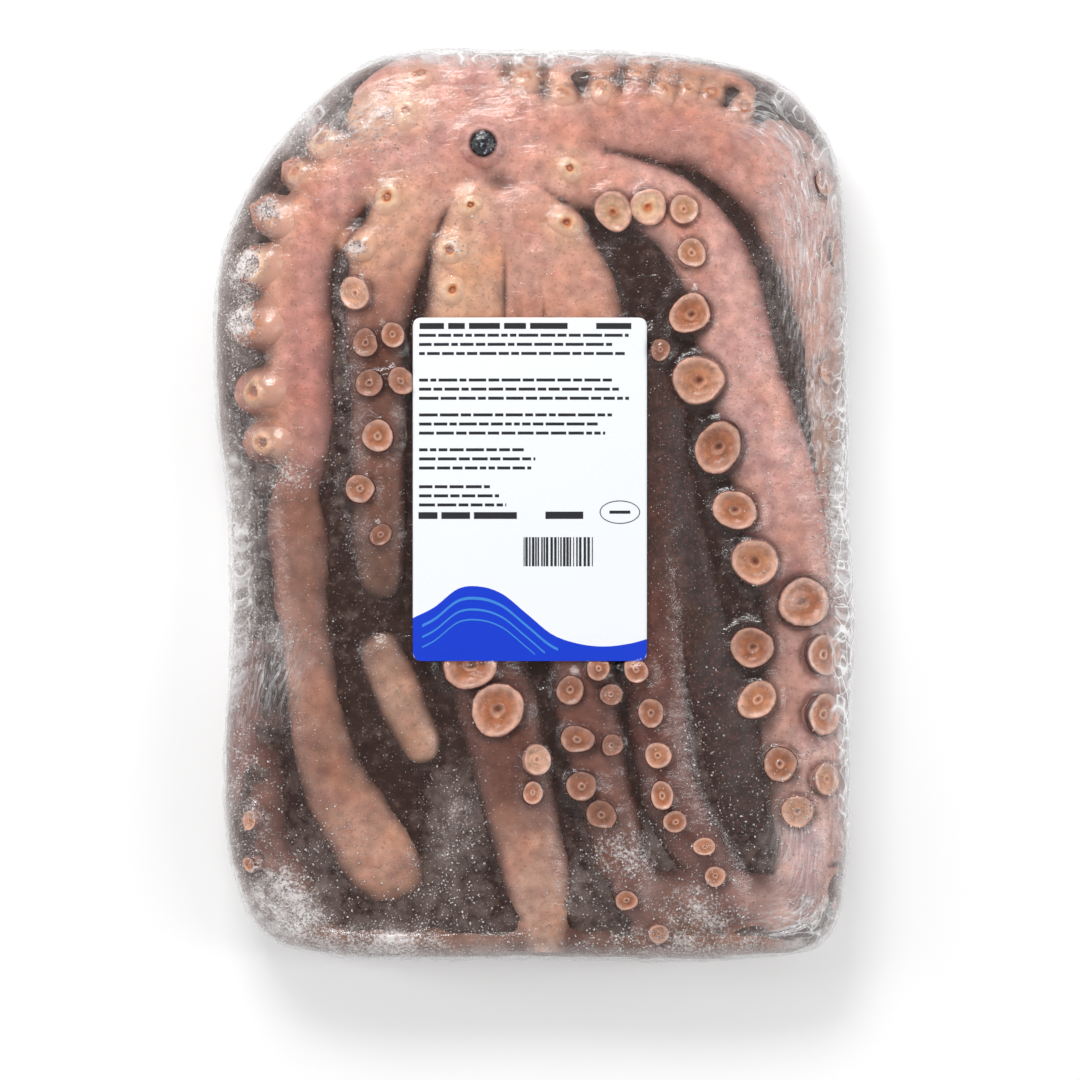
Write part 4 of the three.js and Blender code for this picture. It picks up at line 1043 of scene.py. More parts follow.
ice_side = [(inset + ICE_INSET, height) for inset, height in ICE_SIDE]
ice_piece = piece_of("ice", *shell_of(shell_rings(ice_side, ICE_RINGS, ice_height, ice_foot)))
ice_points = points_of(ice_piece)
ice_points[:, :2] *= (1 + 0.004 * soft_noise(ice_points, 7, 23))[:, None]
place_points(ice_piece, ice_points)
rimward = 1 - smooth_step(0, 8, inset_of(ice_points))
# Painted shade: the ice is tinted dark in its depth and pales to cloudy ice at the rim.
give_tint(ice_piece, laid_over(np.array(linear(DARK_ICE_AND_DEPTH_SHADE)[:3]), RIM_ICE, rimward))
give_attribute(ice_piece, "frost", np.clip(frost_at(ice_points) + 0.25 * rimward, 0, 1))
ice_piece.data.materials.append(ice_material())
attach(ice_piece, "root")
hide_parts("octopus_pack")

# The mouth
# Where the arms meet: a soft puckered lip round the hard black ball of the beak.
MOUTH = (-20, 139)
MOUTH_TOP = 50
LIP_PROFILE = [(4.7, -3), (4.8, -0.6), (5.1, 0.1), (5.7, 0.4), (6.4, 0.1), (7.2, -0.7), (8.4, -2.2), (10, -6)]
BEAK_PROFILE = [(0.2, 2.2), (1.8, 2.1), (3.3, 1.5), (4.4, 0.4), (5.0, -1.0), (4.8, -3), (4.0, -5.5)]
LIP_SIDES = 48
# The lip's dark colour next to the beak is painted shadow.
LIP_SHADOW_BY_BEAK = "#7a4f48"
OUTER_LIP = "#d3a096"
LIP_FOLDS = 13
BEAK_SIDES = 32


def turned(profile, sides, folds=0, depth=0.0):
    """Points and faces of a profile turned about Z at the mouth, closed above and below."""
    around = 2 * np.pi * np.arange(sides) / sides
    rings = []
    for radius, height in profile[::-1]:
        wavy = radius * (1 + depth * np.cos(folds * around) + 0.6 * depth * np.cos(5 * around + 1))
        rings.append(np.column_stack([wavy * np.cos(around) + MOUTH[0], wavy * np.sin(around) + MOUTH[1],
                                      np.full(sides, height + MOUTH_TOP)]))
    return shell_of(rings)


def beak_material():
    """Beak: dark horn, hard and wet, with sharp glints and a few pale grains of ice."""
    made, tree = new_material("beak, dark horn")
    place = add_node(tree, "ShaderNodeTexCoord").outputs["Object"]
    grain = add_node(tree, "ShaderNodeTexNoise", {"Vector": place, "Scale": 1 / (1.4 * MM), "Detail": 5.0})
    colour = add_node(tree, "ShaderNodeValToRGB", {"Fac": grain.outputs["Fac"]}, stops=[
        (0.45, "#0d0d10"), (0.56, "#1d1e26"), (0.62, "#585b6b"), (0.67, "#b4b7c2")])
    bump = add_node(tree, "ShaderNodeBump", {
        "Height": grain.outputs["Fac"], "Strength": 0.7, "Distance": 0.5 * MM})
    shader = add_node(tree, "ShaderNodeBsdfPrincipled", {
        "Base Color": colour.outputs[0], "Roughness": 0.16, "IOR": 1.54, "Normal": bump.outputs["Normal"]})
    add_node(tree, "ShaderNodeOutputMaterial", {"Surface": shader.outputs[0]})
    return made


lip_piece = piece_of("lip", *turned(LIP_PROFILE, LIP_SIDES, LIP_FOLDS, 0.04))
settle(lip_piece, ("SUBSURF", {"levels": 2, "render_levels": 2}))
lip_points = points_of(lip_piece)
lip_reach = np.hypot(lip_points[:, 0] - MOUTH[0], lip_points[:, 1] - MOUTH[1])
# Painted shadow: the lip darkens towards the beak.
lip_colour_and_shadow = laid_over(np.array(linear(LIP_SHADOW_BY_BEAK)[:3]), OUTER_LIP, smooth_step(4.8, 6.6, lip_reach))
give_tint(lip_piece, lip_colour_and_shadow)
give_attribute(lip_piece, "frost", 0.2 + 0.2 * soft_noise(lip_points, 3, 41))
lip_piece.data.materials.append(octopus_skin)
beak_piece = piece_of("beak", *turned(BEAK_PROFILE, BEAK_SIDES))
settle(beak_piece, ("SUBSURF", {"levels": 2, "render_levels": 2}))
beak_points = points_of(beak_piece)
beak_normals = points_of(beak_piece, "normal")
place_points(beak_piece, beak_points + beak_normals * (0.35 * soft_noise(beak_points, 1.7, 42))[:, None])
beak_piece.data.materials.append(beak_material())
for piece, slot in ((lip_piece, "octopus_skin"), (beak_piece, "beak")):
    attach(piece, "root")
    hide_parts("octopus_pack")

# The frost
# Ice crystals under the film: fine glints all over the ice and the wet flesh, and clumps of coarse white
# grains where frost has built up. Both are scattered over the pieces, with a fixed seed.
GLINTS = {"count": 38000, "size": 0.19, "spread": 0.75, "seed": 3, "attribute": "glint_share"}
GRAINS = {"count": 16000, "size": 0.36, "spread": 0.75, "seed": 4, "attribute": "grain_share"}
FROST_LIFT = 0.15  # how far the crystals stand off the faces they grow on
GLINT_SHAPE = ([(0, 0, 1), (0.94, 0, -0.33), (-0.47, 0.82, -0.33), (-0.47, -0.82, -0.33)],
               [(0, 1, 2), (0, 2, 3), (0, 3, 1), (1, 3, 2)])
GRAIN_SHAPE = ([(0, 0, 1), (0.9, 0.1, 0.1), (0, 0.8, -0.1), (-0.8, -0.1, 0.2), (0.1, -0.9, 0), (0, 0, -0.9)],
               [(0, 1, 2), (0, 2, 3), (0, 3, 4), (0, 4, 1), (5, 2, 1), (5, 3, 2), (5, 4, 3), (5, 1, 4)])


def frost_material():
    """Frost: small crystals, rough, dim to bright white by a noise: white frost, and the brightest partly
    painted glints.
    """
    made, tree = new_material("frost crystals")
    place = add_node(tree, "ShaderNodeTexCoord").outputs["Object"]
    cloud = add_node(tree, "ShaderNodeTexNoise", {"Vector": place, "Scale": 1 / (0.7 * MM), "Detail": 3.0})
    # Dim to white by a noise: the white crystals stand partly for glints, painted into their colour.
    shade = add_node(tree, "ShaderNodeValToRGB", {"Fac": cloud.outputs["Fac"]}, stops=[
        (0.36, "#6f615c"), (0.5, "#b7aba7"), (0.6, "#faf7f6")])
    shader = add_node(tree, "ShaderNodeBsdfPrincipled", {
        "Base Color": shade.outputs[0], "Roughness": 0.35, "IOR": 1.31})
    add_node(tree, "ShaderNodeOutputMaterial", {"Surface": shader.outputs[0]})
    return made


def scatter_tree():
    """Sets out crystals of differing size and turn on faces, as thick as an attribute says."""
    tree, group_in = new_tree("Frost crystals", {
        "Crystal": "NodeSocketObject", "Density": "NodeSocketFloat", "Size": "NodeSocketFloat",
        "Spread": "NodeSocketFloat", "Seed": "NodeSocketInt", "Share": "NodeSocketString",
        "Material": "NodeSocketMaterial"})
    share = add_node(tree, "GeometryNodeInputNamedAttribute", {
        "Name": group_in.outputs["Share"]}, data_type="FLOAT")
    density = add_node(tree, "ShaderNodeMath", {
        0: share.outputs[0], 1: group_in.outputs["Density"]}, operation="MULTIPLY")
    spots = add_node(tree, "GeometryNodeDistributePointsOnFaces", {
        "Mesh": group_in.outputs["Geometry"], "Density": density.outputs[0],
        "Seed": group_in.outputs["Seed"]})
    low = add_node(tree, "ShaderNodeMath", {0: 1.0, 1: group_in.outputs["Spread"]}, operation="SUBTRACT")
    high = add_node(tree, "ShaderNodeMath", {0: 1.0, 1: group_in.outputs["Spread"]}, operation="ADD")
    vary = add_node(tree, "FunctionNodeRandomValue", {
        2: low.outputs[0], 3: high.outputs[0], "Seed": group_in.outputs["Seed"]}, data_type="FLOAT")
    size = add_node(tree, "ShaderNodeMath", {
        0: vary.outputs[1], 1: group_in.outputs["Size"]}, operation="MULTIPLY")
    turn = add_node(tree, "FunctionNodeRandomValue", {
        0: (-3.1, -3.1, -3.1), 1: (3.1, 3.1, 3.1), "Seed": group_in.outputs["Seed"]},
        data_type="FLOAT_VECTOR")
    crystal = add_node(tree, "GeometryNodeObjectInfo", {
        "Object": group_in.outputs["Crystal"], "As Instance": True})
    set_out = add_node(tree, "GeometryNodeInstanceOnPoints", {
        "Points": spots.outputs["Points"], "Instance": crystal.outputs["Geometry"],
        "Rotation": turn.outputs[0], "Scale": size.outputs[0]})
    real = add_node(tree, "GeometryNodeRealizeInstances", {"Geometry": set_out.outputs[0]})
    dressed = add_node(tree, "GeometryNodeSetMaterial", {
        "Geometry": real.outputs[0], "Material": group_in.outputs["Material"]})
    add_node(tree, "NodeGroupOutput", {"Geometry": dressed.outputs[0]})
    return tree


def faces_up(pieces, least=-2):
    """Points, normals and faces of pieces as one mesh, of the faces that look up by more than a share."""
    points, normals, faces, start = [], [], [], 0
    for piece in pieces:
        own = points_of(piece)
        facing = points_of(piece, "normal")
        points.append(own)
        normals.append(facing)
        faces += [tuple(start + i for i in polygon.vertices) for polygon in piece.data.polygons
                  if polygon.normal.z > least]
        start += len(own)
    return np.vstack(points), np.vstack(normals), faces


frost_tree = scatter_tree()
frost_look = frost_material()
ground_points, ground_normals, ground_faces = faces_up([arms_piece, *cups_pieces, ice_piece], 0.25)
thick = frost_at(ground_points)
depth = lid_at(ground_points) - ground_points[:, 2]
clump = np.clip(soft_noise(ground_points, 5, 53) + soft_noise(ground_points, 2.2, 54), 0, 1.4) ** 1.5
sunk = smooth_step(1, 4, depth) * smooth_step(12, 6, depth)
glint_share = np.clip(0.05 + 0.4 * sunk + 0.6 * thick, 0, 1) * (depth < 9)
grain_share = np.clip(thick ** 1.5 * (0.25 + clump), 0, 1) * (depth < 8)
for name, kind, shape, shares in (
        ("frost_glints", GLINTS, GLINT_SHAPE, glint_share),
        ("frost_grains", GRAINS, GRAIN_SHAPE, grain_share)):
    crystal = piece_of("crystal", *shape, smooth=False)
    bpy.context.collection.objects.unlink(crystal)
    piece = piece_of(name, ground_points + FROST_LIFT * ground_normals, ground_faces)
    give_attribute(piece, kind["attribute"], shares)
    share = piece.data.attributes[kind["attribute"]].data
    area = sum(polygon.area * share[polygon.vertices[0]].value for polygon in piece.data.polygons)
    grow(piece, frost_tree, {"Crystal": crystal, "Density": kind["count"] / area, "Size": kind["size"],
                             "Spread": kind["spread"], "Seed": kind["seed"], "Share": kind["attribute"],
                             "Material": frost_look})
    piece.data.polygons.foreach_set("use_smooth", [False] * len(piece.data.polygons))
    bpy.data.objects.remove(crystal)
    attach(piece, "root")
    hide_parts("octopus_pack")

# The film
# Thin clear plastic, shrunk tight round the whole block: it bridges the gaps between the arms, creases where
# it is gathered at the rim and the corners, and turns milky where it lies in folds.
FILM_SIDE = [(14, 0), (8, 0.7), (3.2, 4.2), (0.5, 11.5), (0, 18), (0.6, 25.5), (2.8, 33), (7, 39.5),
             (12, 43.5)]
# Where the film lies in folds and turns milky: (x, y, half width, half length, amount).
FILM_FOLDS = [
    (108, 108, 14, 44, 0.5), (112, 40, 9, 30, 0.4), (122, -20, 7, 120, 0.95), (-117, -30, 9, 52, 0.5),
    (-105, -62, 14, 18, 0.3), (0, 175, 80, 5, 0.55), (-90, 150, 34, 10, 0.4), (100, 151, 18, 14, 0.5),
    (108, -163, 17, 12, 0.6), (103, -134, 11, 16, 0.3), (-50, -175, 70, 5, 0.25), (60, -175, 60, 4, 0.22),
    (-108, -163, 16, 12, 0.4),
]
FILM_RINGS = 118
FILM_GAP = 0.55
CREASE_HEIGHT = 0.55
RIM_HAZE_AND_SHEEN = 0.36
WELL_ABOVE = 100
HEIGHT_STEP = 1.5
BRIDGE = 6  # how far the film spans a gap, in height steps
film_x = np.arange(-PACK_WIDTH / 2 - 8, PACK_WIDTH / 2 + 8, HEIGHT_STEP)
film_y = np.arange(-PACK_LENGTH / 2 - 8, PACK_LENGTH / 2 + 8, HEIGHT_STEP)


def flesh_heights(pieces):
    """The height of the highest of the pieces over each point of a level grid."""
    points, _, faces = faces_up(pieces)
    tree = BVHTree.FromPolygons(points.tolist(), faces)
    down = Vector((0, 0, -1))
    heights = np.zeros((len(film_y), len(film_x)))
    for i, y in enumerate(film_y):
        for j, x in enumerate(film_x):
            hit = tree.ray_cast(Vector((x, y, WELL_ABOVE)), down)[0]
            heights[i, j] = hit.z if hit else 0
    return heights


def spread(heights, radius, pick):
    """The highest or lowest value within a radius of each grid point."""
    best = heights.copy()
    for dy in range(-radius, radius + 1):
        for dx in range(-radius, radius + 1):
            if dx * dx + dy * dy <= radius * radius:
                best = pick(best, np.roll(heights, (dy, dx), (0, 1)))
    return best


def softened(heights, times):
    for _ in range(times):
        for axis in (0, 1):
            heights = 0.5 * heights + 0.25 * (np.roll(heights, 1, axis) + np.roll(heights, -1, axis))
    return heights


def sampled(heights, points):
    """Values of the height grid at any points, smoothly."""
    gx = np.clip((points[:, 0] - film_x[0]) / HEIGHT_STEP, 0, len(film_x) - 1.001)
    gy = np.clip((points[:, 1] - film_y[0]) / HEIGHT_STEP, 0, len(film_y) - 1.001)
    ix, iy = gx.astype(int), gy.astype(int)
    fx, fy = gx - ix, gy - iy
    low = heights[iy, ix] * (1 - fx) + heights[iy, ix + 1] * fx
    high = heights[iy + 1, ix] * (1 - fx) + heights[iy + 1, ix + 1] * fx
    return low * (1 - fy) + high * fy


def film_material():
    """Clear shrink film: nearly invisible flat on, with a sharp gloss, milky where it is creased, and with
    painted highlights as thin white lines along its wrinkles and fold edges.
    """
    made, tree = new_material("clear shrink film")
    place = add_node(tree, "ShaderNodeTexCoord").outputs["Object"]
    haze = add_node(tree, "ShaderNodeAttribute", attribute_name="haze").outputs["Fac"]
    stretched = add_node(tree, "ShaderNodeMapping", {
        "Vector": place, "Scale": (0.35, 1.0, 1.0), "Rotation": (0, 0, 0.5)})
    crease = add_node(tree, "ShaderNodeTexNoise", {
        "Vector": stretched.outputs[0], "Scale": 1 / (3 * MM), "Detail": 3.0, "Roughness": 0.6,
        "Distortion": 0.6})
    bump = add_node(tree, "ShaderNodeBump", {
        "Height": crease.outputs["Fac"], "Strength": 0.7, "Distance": 0.8 * MM})
    clear = add_node(tree, "ShaderNodeBsdfTransparent", {"Color": (0.985, 0.985, 0.99, 1)})
    gloss = add_node(tree, "ShaderNodeBsdfGlossy", {
        "Color": (1, 1, 1, 1), "Roughness": 0.16, "Normal": bump.outputs["Normal"]})
    edge = add_node(tree, "ShaderNodeLayerWeight", {"Blend": 0.5, "Normal": bump.outputs["Normal"]})
    steep = add_node(tree, "ShaderNodeMath", {0: edge.outputs["Facing"], 1: 4.0}, operation="POWER")
    shine = add_node(tree, "ShaderNodeMath", {
        0: steep.outputs[0], 1: 0.85, 2: 0.035}, operation="MULTIPLY_ADD", use_clamp=True)
    film = add_node(tree, "ShaderNodeMixShader", {
        0: shine.outputs[0], 1: clear.outputs[0], 2: gloss.outputs[0]})
    # The milk comes in streaks along the wrap, partly real haze and partly painted shine of the wrinkles.
    wrap = add_node(tree, "ShaderNodeAttribute", attribute_name="wrap").outputs["Vector"]
    thread = add_node(tree, "ShaderNodeTexNoise", {
        "Vector": wrap, "Scale": 1.0, "Detail": 5.0, "Roughness": 0.6, "Distortion": 0.5})
    streak = add_node(tree, "ShaderNodeMapRange", {
        "Value": thread.outputs["Fac"], "From Min": 0.45, "From Max": 0.65, "To Min": 0.25, "To Max": 1.1})
    wrinkle = add_node(tree, "ShaderNodeTexNoise", {
        "Vector": wrap, "Scale": 0.45, "Detail": 2.0, "Distortion": 0.3})
    # Painted highlights: thin white lines where the wrinkle noise crosses its middle.
    off = add_node(tree, "ShaderNodeMath", {0: wrinkle.outputs["Fac"], 1: 0.5}, operation="SUBTRACT")
    apart = add_node(tree, "ShaderNodeMath", {0: off.outputs[0]}, operation="ABSOLUTE")
    line = add_node(tree, "ShaderNodeMapRange", {
        "Value": apart.outputs[0], "From Min": 0.0, "From Max": 0.022, "To Min": 0.9, "To Max": 0.0})
    # Painted highlights: white lines along the edges of facets where the film is folded.
    facet = add_node(tree, "ShaderNodeTexVoronoi", {
        "Vector": place, "Scale": 1 / (8 * MM)}, feature="DISTANCE_TO_EDGE")
    ridge = add_node(tree, "ShaderNodeMapRange", {
        "Value": facet.outputs["Distance"], "From Min": 0.0, "From Max": 0.05, "To Min": 1.0, "To Max": 0.0})
    folded = add_node(tree, "ShaderNodeMapRange", {
        "Value": haze, "From Min": 0.47, "From Max": 0.6, "To Max": 0.8})
    painted_highlight_lines = add_node(tree, "ShaderNodeMath", {
        0: ridge.outputs[0], 1: folded.outputs[0], 2: line.outputs[0]}, operation="MULTIPLY_ADD")
    both = add_node(tree, "ShaderNodeMath", {0: painted_highlight_lines.outputs[0], 1: streak.outputs[0]}, operation="ADD")
    milk_and_highlights = add_node(tree, "ShaderNodeMath", {
        0: haze, 1: both.outputs[0]}, operation="MULTIPLY", use_clamp=True)
    milk = add_node(tree, "ShaderNodeBsdfDiffuse", {
        "Color": linear("#f1eff0"), "Normal": bump.outputs["Normal"]})
    # The milk carries the film's real haze and the painted highlights.
    whole = add_node(tree, "ShaderNodeMixShader", {
        0: milk_and_highlights.outputs[0], 1: film.outputs[0], 2: milk.outputs[0]})
    add_node(tree, "ShaderNodeOutputMaterial", {"Surface": whole.outputs[0]})
    return made


raw_heights = flesh_heights([arms_piece, *cups_pieces, ice_piece, lip_piece, beak_piece])
bridged = spread(spread(raw_heights, BRIDGE, np.maximum), BRIDGE - 1, np.minimum)
bridged = np.maximum(softened(bridged, 3), raw_heights)
# The film lies a little nearer to the span over the gaps than to the flesh in them, and never in the flesh.
film_heights = softened(np.maximum(0.55 * bridged + 0.45 * softened(raw_heights, 6), raw_heights), 1)


def film_height(points):
    return sampled(film_heights, points) + FILM_GAP


def film_foot(points):
    return np.zeros(len(points))


film_rows = shell_rings(FILM_SIDE, FILM_RINGS, film_height, film_foot)
film_piece = piece_of("film", *shell_of(film_rows))
film_points = points_of(film_piece)
film_normals = points_of(film_piece, "normal")
film_inset = inset_of(film_points)
reach = np.maximum(np.hypot(film_points[:, 0], film_points[:, 1]), 1)[:, None]
down_side = film_inset - 0.8 * film_points[:, 2]
gathered = np.column_stack([150 * film_points[:, :2] / reach, down_side])
crease = (1 - np.abs(soft_noise(gathered, (5, 5, 26), 61))) ** 4 + 0.6 * (
    1 - np.abs(soft_noise(gathered, (2.6, 2.6, 17), 62))) ** 4
wrap = np.column_stack([24 * film_points[:, :2] / reach, down_side / 1.4])
rimmed = 1 - smooth_step(4, 30, film_inset)
top_side = smooth_step(2, 10, film_points[:, 2])
film_points = film_points + film_normals * (CREASE_HEIGHT * crease * rimmed * top_side)[:, None]
film_points[:, 2] = np.maximum(film_points[:, 2], 0)
place_points(film_piece, film_points)
# The film is milky at its rim: gathered film, and partly painted sheen where it turns steeply away.
haze = np.maximum(RIM_HAZE_AND_SHEEN * (1 - smooth_step(0, 6, film_inset)), strongest(FILM_FOLDS, film_points))
give_attribute(film_piece, "haze", np.clip(haze, 0, 0.9))
give_attribute(film_piece, "wrap", wrap, "FLOAT_VECTOR")
film_piece.data.materials.append(film_material())
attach(film_piece, "root")
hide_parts("octopus_pack")

# The label
# Coated white paper, stuck on the film over the middle of the pack, with round corners.
LABEL_CORNER = 3
LABEL_STEP = 1.5
LABEL_LEFT = LABEL_CENTRE[0] - LABEL_SIZE[0] / 2
LABEL_FOOT = LABEL_CENTRE[1] - LABEL_SIZE[1] / 2


def label_height(x, y):
    """The label's upper face: bent down to both sides, and a little uneven over the arms."""
    side = (np.asarray(x) - LABEL_CENTRE[0]) * 2 / LABEL_SIZE[0]
    level = np.column_stack([np.atleast_1d(x), np.atleast_1d(y), np.zeros(np.size(x))])
    return LABEL_TOP - LABEL_SAG * side ** 2 - 0.12 * (1 + soft_noise(level, 22, 71))


def label_sheet():
    """Points and faces of the label: a fine grid drawn in to round corners, with an edge and a back."""
    half = np.array(LABEL_SIZE) / 2
    counts = [round(size / LABEL_STEP) + 1 for size in LABEL_SIZE]
    gx, gy = np.meshgrid(*[np.linspace(-h, h, n) for h, n in zip(half, counts)])
    flat = np.column_stack([gx.ravel(), gy.ravel()])
    corner = np.sign(flat) * (half - LABEL_CORNER)
    past = np.abs(flat) > half - LABEL_CORNER
    both = past.all(axis=1)
    off = flat - corner
    reach = np.hypot(off[:, 0], off[:, 1])
    square = np.max(np.abs(off), axis=1)
    drawn = corner + off * (square / np.maximum(reach, 1e-9))[:, None]
    flat = np.where(both[:, None], drawn, flat) + LABEL_CENTRE
    top = np.column_stack([flat, label_height(flat[:, 0], flat[:, 1])])
    bottom = top - (0, 0, LABEL_SHEET)
    nx, ny = counts
    faces = []
    for j in range(ny - 1):
        for i in range(nx - 1):
            a = j * nx + i
            faces.append((a, a + 1, a + nx + 1, a + nx))
            faces.append(tuple(nx * ny + k for k in (a, a + nx, a + nx + 1, a + 1)))
    edge = [*range(nx), *[j * nx + nx - 1 for j in range(1, ny)], *[ny * nx - 1 - i for i in range(1, nx)],
            *[j * nx for j in range(ny - 2, 0, -1)]]
    for a, b in zip(edge, edge[1:] + edge[:1]):
        faces.append((b, a, nx * ny + a, nx * ny + b))
    return np.vstack([top, bottom]), faces


def print_material(name, code, gloss):
    """Label stock or ink on it: a smooth clay coat with a faint fibre under it."""
    made, tree = new_material(name)
    place = add_node(tree, "ShaderNodeTexCoord").outputs["Object"]
    fibre = add_node(tree, "ShaderNodeTexNoise", {"Vector": place, "Scale": 1 / (0.8 * MM), "Detail": 4.0})
    fine = add_node(tree, "ShaderNodeMapRange", {
        "Value": fibre.outputs["Fac"], "To Min": 0.96, "To Max": 1.03})
    colour = add_node(tree, "ShaderNodeMix", {
        0: 1.0, 6: linear(code), 7: fine.outputs[0]}, data_type="RGBA", blend_type="MULTIPLY")
    bump = add_node(tree, "ShaderNodeBump", {
        "Height": fibre.outputs["Fac"], "Strength": 0.15, "Distance": 0.1 * MM})
    shader = add_node(tree, "ShaderNodeBsdfPrincipled", {
        "Base Color": colour.outputs[2], "Roughness": gloss, "Normal": bump.outputs["Normal"]})
    add_node(tree, "ShaderNodeOutputMaterial", {"Surface": shader.outputs[0]})
    return made


label_piece = piece_of("label_sheet", *label_sheet())
label_piece.data.materials.append(print_material("coated label paper", "#eef1f6", 0.42))
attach(label_piece, "root")
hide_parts("label")

# The print
# Ink on the label: plain bars where the lines of text are, a pattern of bars, and a blue field with a wave.
INK = 0.05  # how far the ink stands above the paper
TEXT_SEED = 5
BARS_SEED = 11
LINE_PITCH = 3.5
LINE_HEIGHT = 1.15
WORD_GAP = 0.9
# Blocks of text, as (height of the first line, lines, reach).
TEXT_BLOCKS = [(124.6, 3, 86), (107.4, 3, 84), (94, 3, 82), (80.6, 3, 50), (66.4, 3, 36)]
BLUE_FIELD = [(0, 16.5), (8, 20.5), (18, 28), (26, 28.6), (34, 26), (44, 18), (54, 10), (64, 6.6), (74, 5.6),
              (84, 6.8), (90, 8.4)]


def joined(shapes):
    """One list of points and faces from several."""
    points, faces, start = [], [], 0
    for own_points, own_faces in shapes:
        points.append(own_points)
        faces += [tuple(start + i for i in face) for face in own_faces]
        start += len(own_points)
    return np.vstack(points), faces


def printed(x0, y0, x1, y1, cell=3):
    """A thin closed strip of ink on the label, from its lower left corner in millimetres."""
    count = max(1, math.ceil((x1 - x0) / cell))
    xs = np.linspace(x0, x1, count + 1)
    return strip_of(xs, np.full(len(xs), y0), np.full(len(xs), y1))


def strip_of(xs, lows, highs):
    """A thin closed strip of ink between two lines across the label."""
    count = len(xs)
    plan = np.column_stack([np.tile(xs, 2) + LABEL_LEFT, np.concatenate([lows, highs]) + LABEL_FOOT])
    height = label_height(plan[:, 0], plan[:, 1])
    points = np.vstack([np.column_stack([plan, height + INK]), np.column_stack([plan, height - INK])])
    under = 2 * count
    faces = []
    for i in range(count - 1):
        faces.append((i, i + 1, count + i + 1, count + i))
        faces.append((under + i, under + count + i, under + count + i + 1, under + i + 1))
        faces.append((i + 1, i, under + i, under + i + 1))
        faces.append((count + i, count + i + 1, under + count + i + 1, under + count + i))
    faces.append((0, count, under + count, under))
    faces.append((2 * count - 1, count - 1, under + count - 1, under + 2 * count - 1))
    return points, faces


def text_rows():
    """Bars the length of words, in blocks of lines, drawn with a fixed seed."""
    draw = np.random.default_rng(TEXT_SEED)
    rows = []
    for first, count, reach in TEXT_BLOCKS:
        for line in range(count):
            y = first - LINE_PITCH * line
            x = 2.4
            end = reach * draw.uniform(0.82, 1)
            while x < end:
                word = draw.uniform(2.2, 7.5)
                rows.append(printed(x, y, min(x + word, end), y + LINE_HEIGHT))
                x += word + WORD_GAP
    return rows


def heading_bars():
    """The bolder bars: a heading, a weight and a line under the text."""
    bars = [(2.6, 127.6, 12, 129.9), (13.6, 127.6, 20, 129.9), (21.6, 127.6, 33.5, 129.9),
            (35.1, 127.6, 43.5, 129.9), (45.1, 127.6, 59.5, 129.9), (70.5, 127.6, 84, 129.9),
            (2.2, 54.6, 9.5, 57.2), (11, 54.6, 22, 57.2), (23.5, 54.6, 40, 57.2), (51, 54.6, 65.5, 57.4)]
    return [printed(*bar) for bar in bars]


def bar_pattern():
    """Upright bars of differing widths, drawn with a fixed seed."""
    draw = np.random.default_rng(BARS_SEED)
    bars, x = [], 42.6
    while x < 69:
        width = draw.choice([0.35, 0.6, 0.95])
        bars.append(printed(x, 36.4, x + width, 47.6))
        x += width + draw.choice([0.3, 0.5, 0.8])
    return bars


def ring_print(x, y, width, height, line, sides=40):
    """A thin closed ring of ink round a point of the label."""
    around = 2 * np.pi * np.arange(sides) / sides
    rings = []
    for grow_by, lift in ((0, INK), (-line, INK), (-line, -INK), (0, -INK)):
        px = x + LABEL_LEFT + (width / 2 + grow_by) * np.cos(around)
        py = y + LABEL_FOOT + (height / 2 + grow_by) * np.sin(around)
        rings.append(np.column_stack([px, py, label_height(px, py) + lift]))
    faces = []
    for i in range(4):
        for j in range(sides):
            a, b = i * sides + j, i * sides + (j + 1) % sides
            c, d = ((i + 1) % 4) * sides + j, ((i + 1) % 4) * sides + (j + 1) % sides
            faces.append((a, b, d, c))
    return np.vstack(rings), faces


field = curve_through(BLUE_FIELD, 1)
round_off = LABEL_CORNER - np.sqrt(np.clip(LABEL_CORNER ** 2 - np.clip(
    LABEL_CORNER - np.minimum(field[:, 0], LABEL_SIZE[0] - field[:, 0]), 0, None) ** 2, 0, None))
blue_shapes = [strip_of(field[:, 0], round_off, field[:, 1])]
wave_shapes = []
for lift, thick in ((-5.2, 1.1), (-9.4, 0.8), (-13.2, 0.6)):
    inside = (field[:, 0] > 3) & (field[:, 0] < 56) & (field[:, 1] + lift > 2.2)
    wave_shapes.append(strip_of(field[inside, 0], field[inside, 1] + lift, field[inside, 1] + lift + thick))
wave_shapes = [(points + (0, 0, INK), faces) for points, faces in wave_shapes]
black_shapes = [*text_rows(), *heading_bars(), *bar_pattern(), ring_print(79.6, 57.2, 15.6, 9, 0.35),
                printed(75.6, 56.6, 83.6, 57.8)]
for name, shapes, code, slot in (
        ("print_blue", blue_shapes, "#0038cc", "label_blue"),
        ("print_light_blue", wave_shapes, "#3a86d8", "label_light_blue"),
        ("print_black", black_shapes, "#26262a", "label_black")):
    ink = piece_of(name, *joined(shapes), smooth=False)
    ink.data.materials.append(print_material(name.replace("_", " ") + " ink", code, 0.38))
    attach(ink, "root")
    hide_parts("label")

# The stage
# A plain white table under soft studio light, seen from straight above.
VIEW_CENTRE = (1.9, -13.5)
VIEW_WIDTH = 415.4
VIEW_HEIGHT = 50
CAMERA_DISTANCE = 1700
FLOOR_DROP = -0.3  # clear of the film's underside, so that the two don't lie in one plane
FLOOR_REACH = 3000

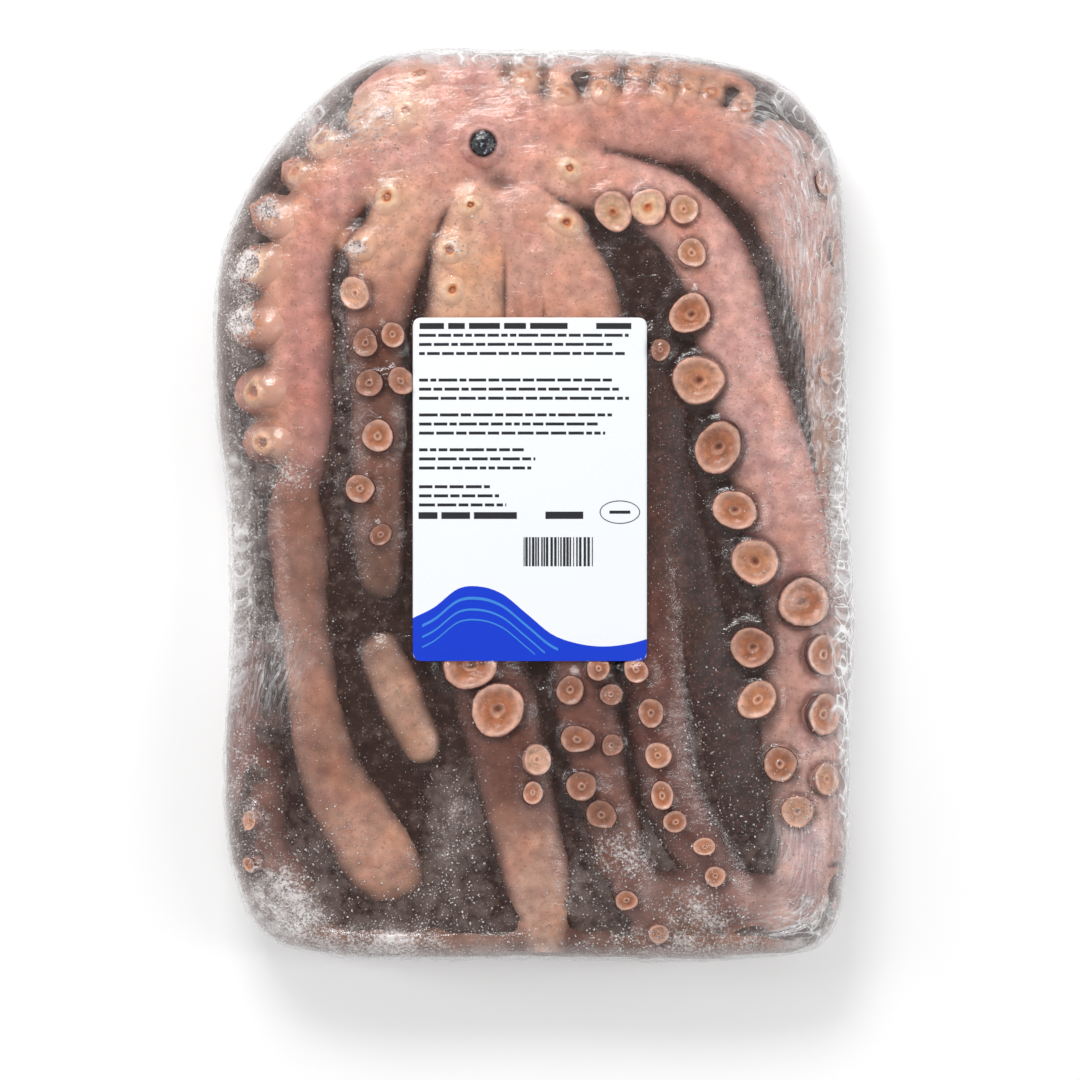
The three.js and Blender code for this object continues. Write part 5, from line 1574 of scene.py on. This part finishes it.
floor = piece_of("floor", [(x * FLOOR_REACH, y * FLOOR_REACH, FLOOR_DROP)
                           for x, y in ((-1, -1), (1, -1), (1, 1), (-1, 1))], [(0, 1, 2, 3)])
floor_made, floor_tree = new_material("white table")
floor_shader = add_node(floor_tree, "ShaderNodeBsdfPrincipled", {
    "Base Color": (0.8, 0.8, 0.8, 1), "Roughness": 0.9, "Emission Color": (1, 1, 1, 1),
    "Emission Strength": 0.19})
add_node(floor_tree, "ShaderNodeOutputMaterial", {"Surface": floor_shader.outputs[0]})
floor.data.materials.append(floor_made)


def add_light(name, place, aim, size, power):
    """A soft light of a size in millimetres, aimed at a point."""
    lamp = bpy.data.lights.new(name, "AREA")
    lamp.shape = "RECTANGLE"
    lamp.size, lamp.size_y = size[0] * MM, size[1] * MM
    lamp.energy = power
    made = bpy.data.objects.new(name, lamp)
    made.location = Vector(place) * MM
    made.rotation_mode = "QUATERNION"
    made.rotation_quaternion = (Vector(aim) - Vector(place)).to_track_quat("-Z", "Y")
    bpy.context.collection.objects.link(made)


add_light("key", (-300, 1050, 1100), (0, 0, 20), (700, 400), 12.6)
add_light("fill", (950, -100, 900), (0, 0, 20), (300, 800), 3.8)
add_light("strip", (-950, 100, 600), (0, 0, 30), (160, 900), 2.4)
world = bpy.data.worlds.new("studio")
world.use_nodes = True
sky_tree = world.node_tree
sky_place = add_node(sky_tree, "ShaderNodeTexCoord").outputs["Generated"]
sky_height = add_node(sky_tree, "ShaderNodeSeparateXYZ", {"Vector": sky_place}).outputs["Z"]
sky_shade = add_node(sky_tree, "ShaderNodeMapRange", {
    "Value": sky_height, "From Min": 0.55, "From Max": 0.95, "To Min": 0.76, "To Max": 0.24})
sky_tree.links.new(sky_shade.outputs[0], sky_tree.nodes["Background"].inputs["Strength"])
sky_tree.nodes["Background"].inputs["Color"].default_value = (1, 1, 1, 1)
bpy.context.scene.world = world
bpy.context.scene.view_settings.view_transform = "Standard"

camera_data = bpy.data.cameras.new("camera")
camera_data.sensor_width = 36
camera_data.lens = 36 * (CAMERA_DISTANCE - VIEW_HEIGHT) / VIEW_WIDTH
camera_data.clip_end = 10
camera = bpy.data.objects.new("camera", camera_data)
camera.location = Vector((*VIEW_CENTRE, CAMERA_DISTANCE)) * MM
bpy.context.collection.objects.link(camera)
bpy.context.scene.camera = camera
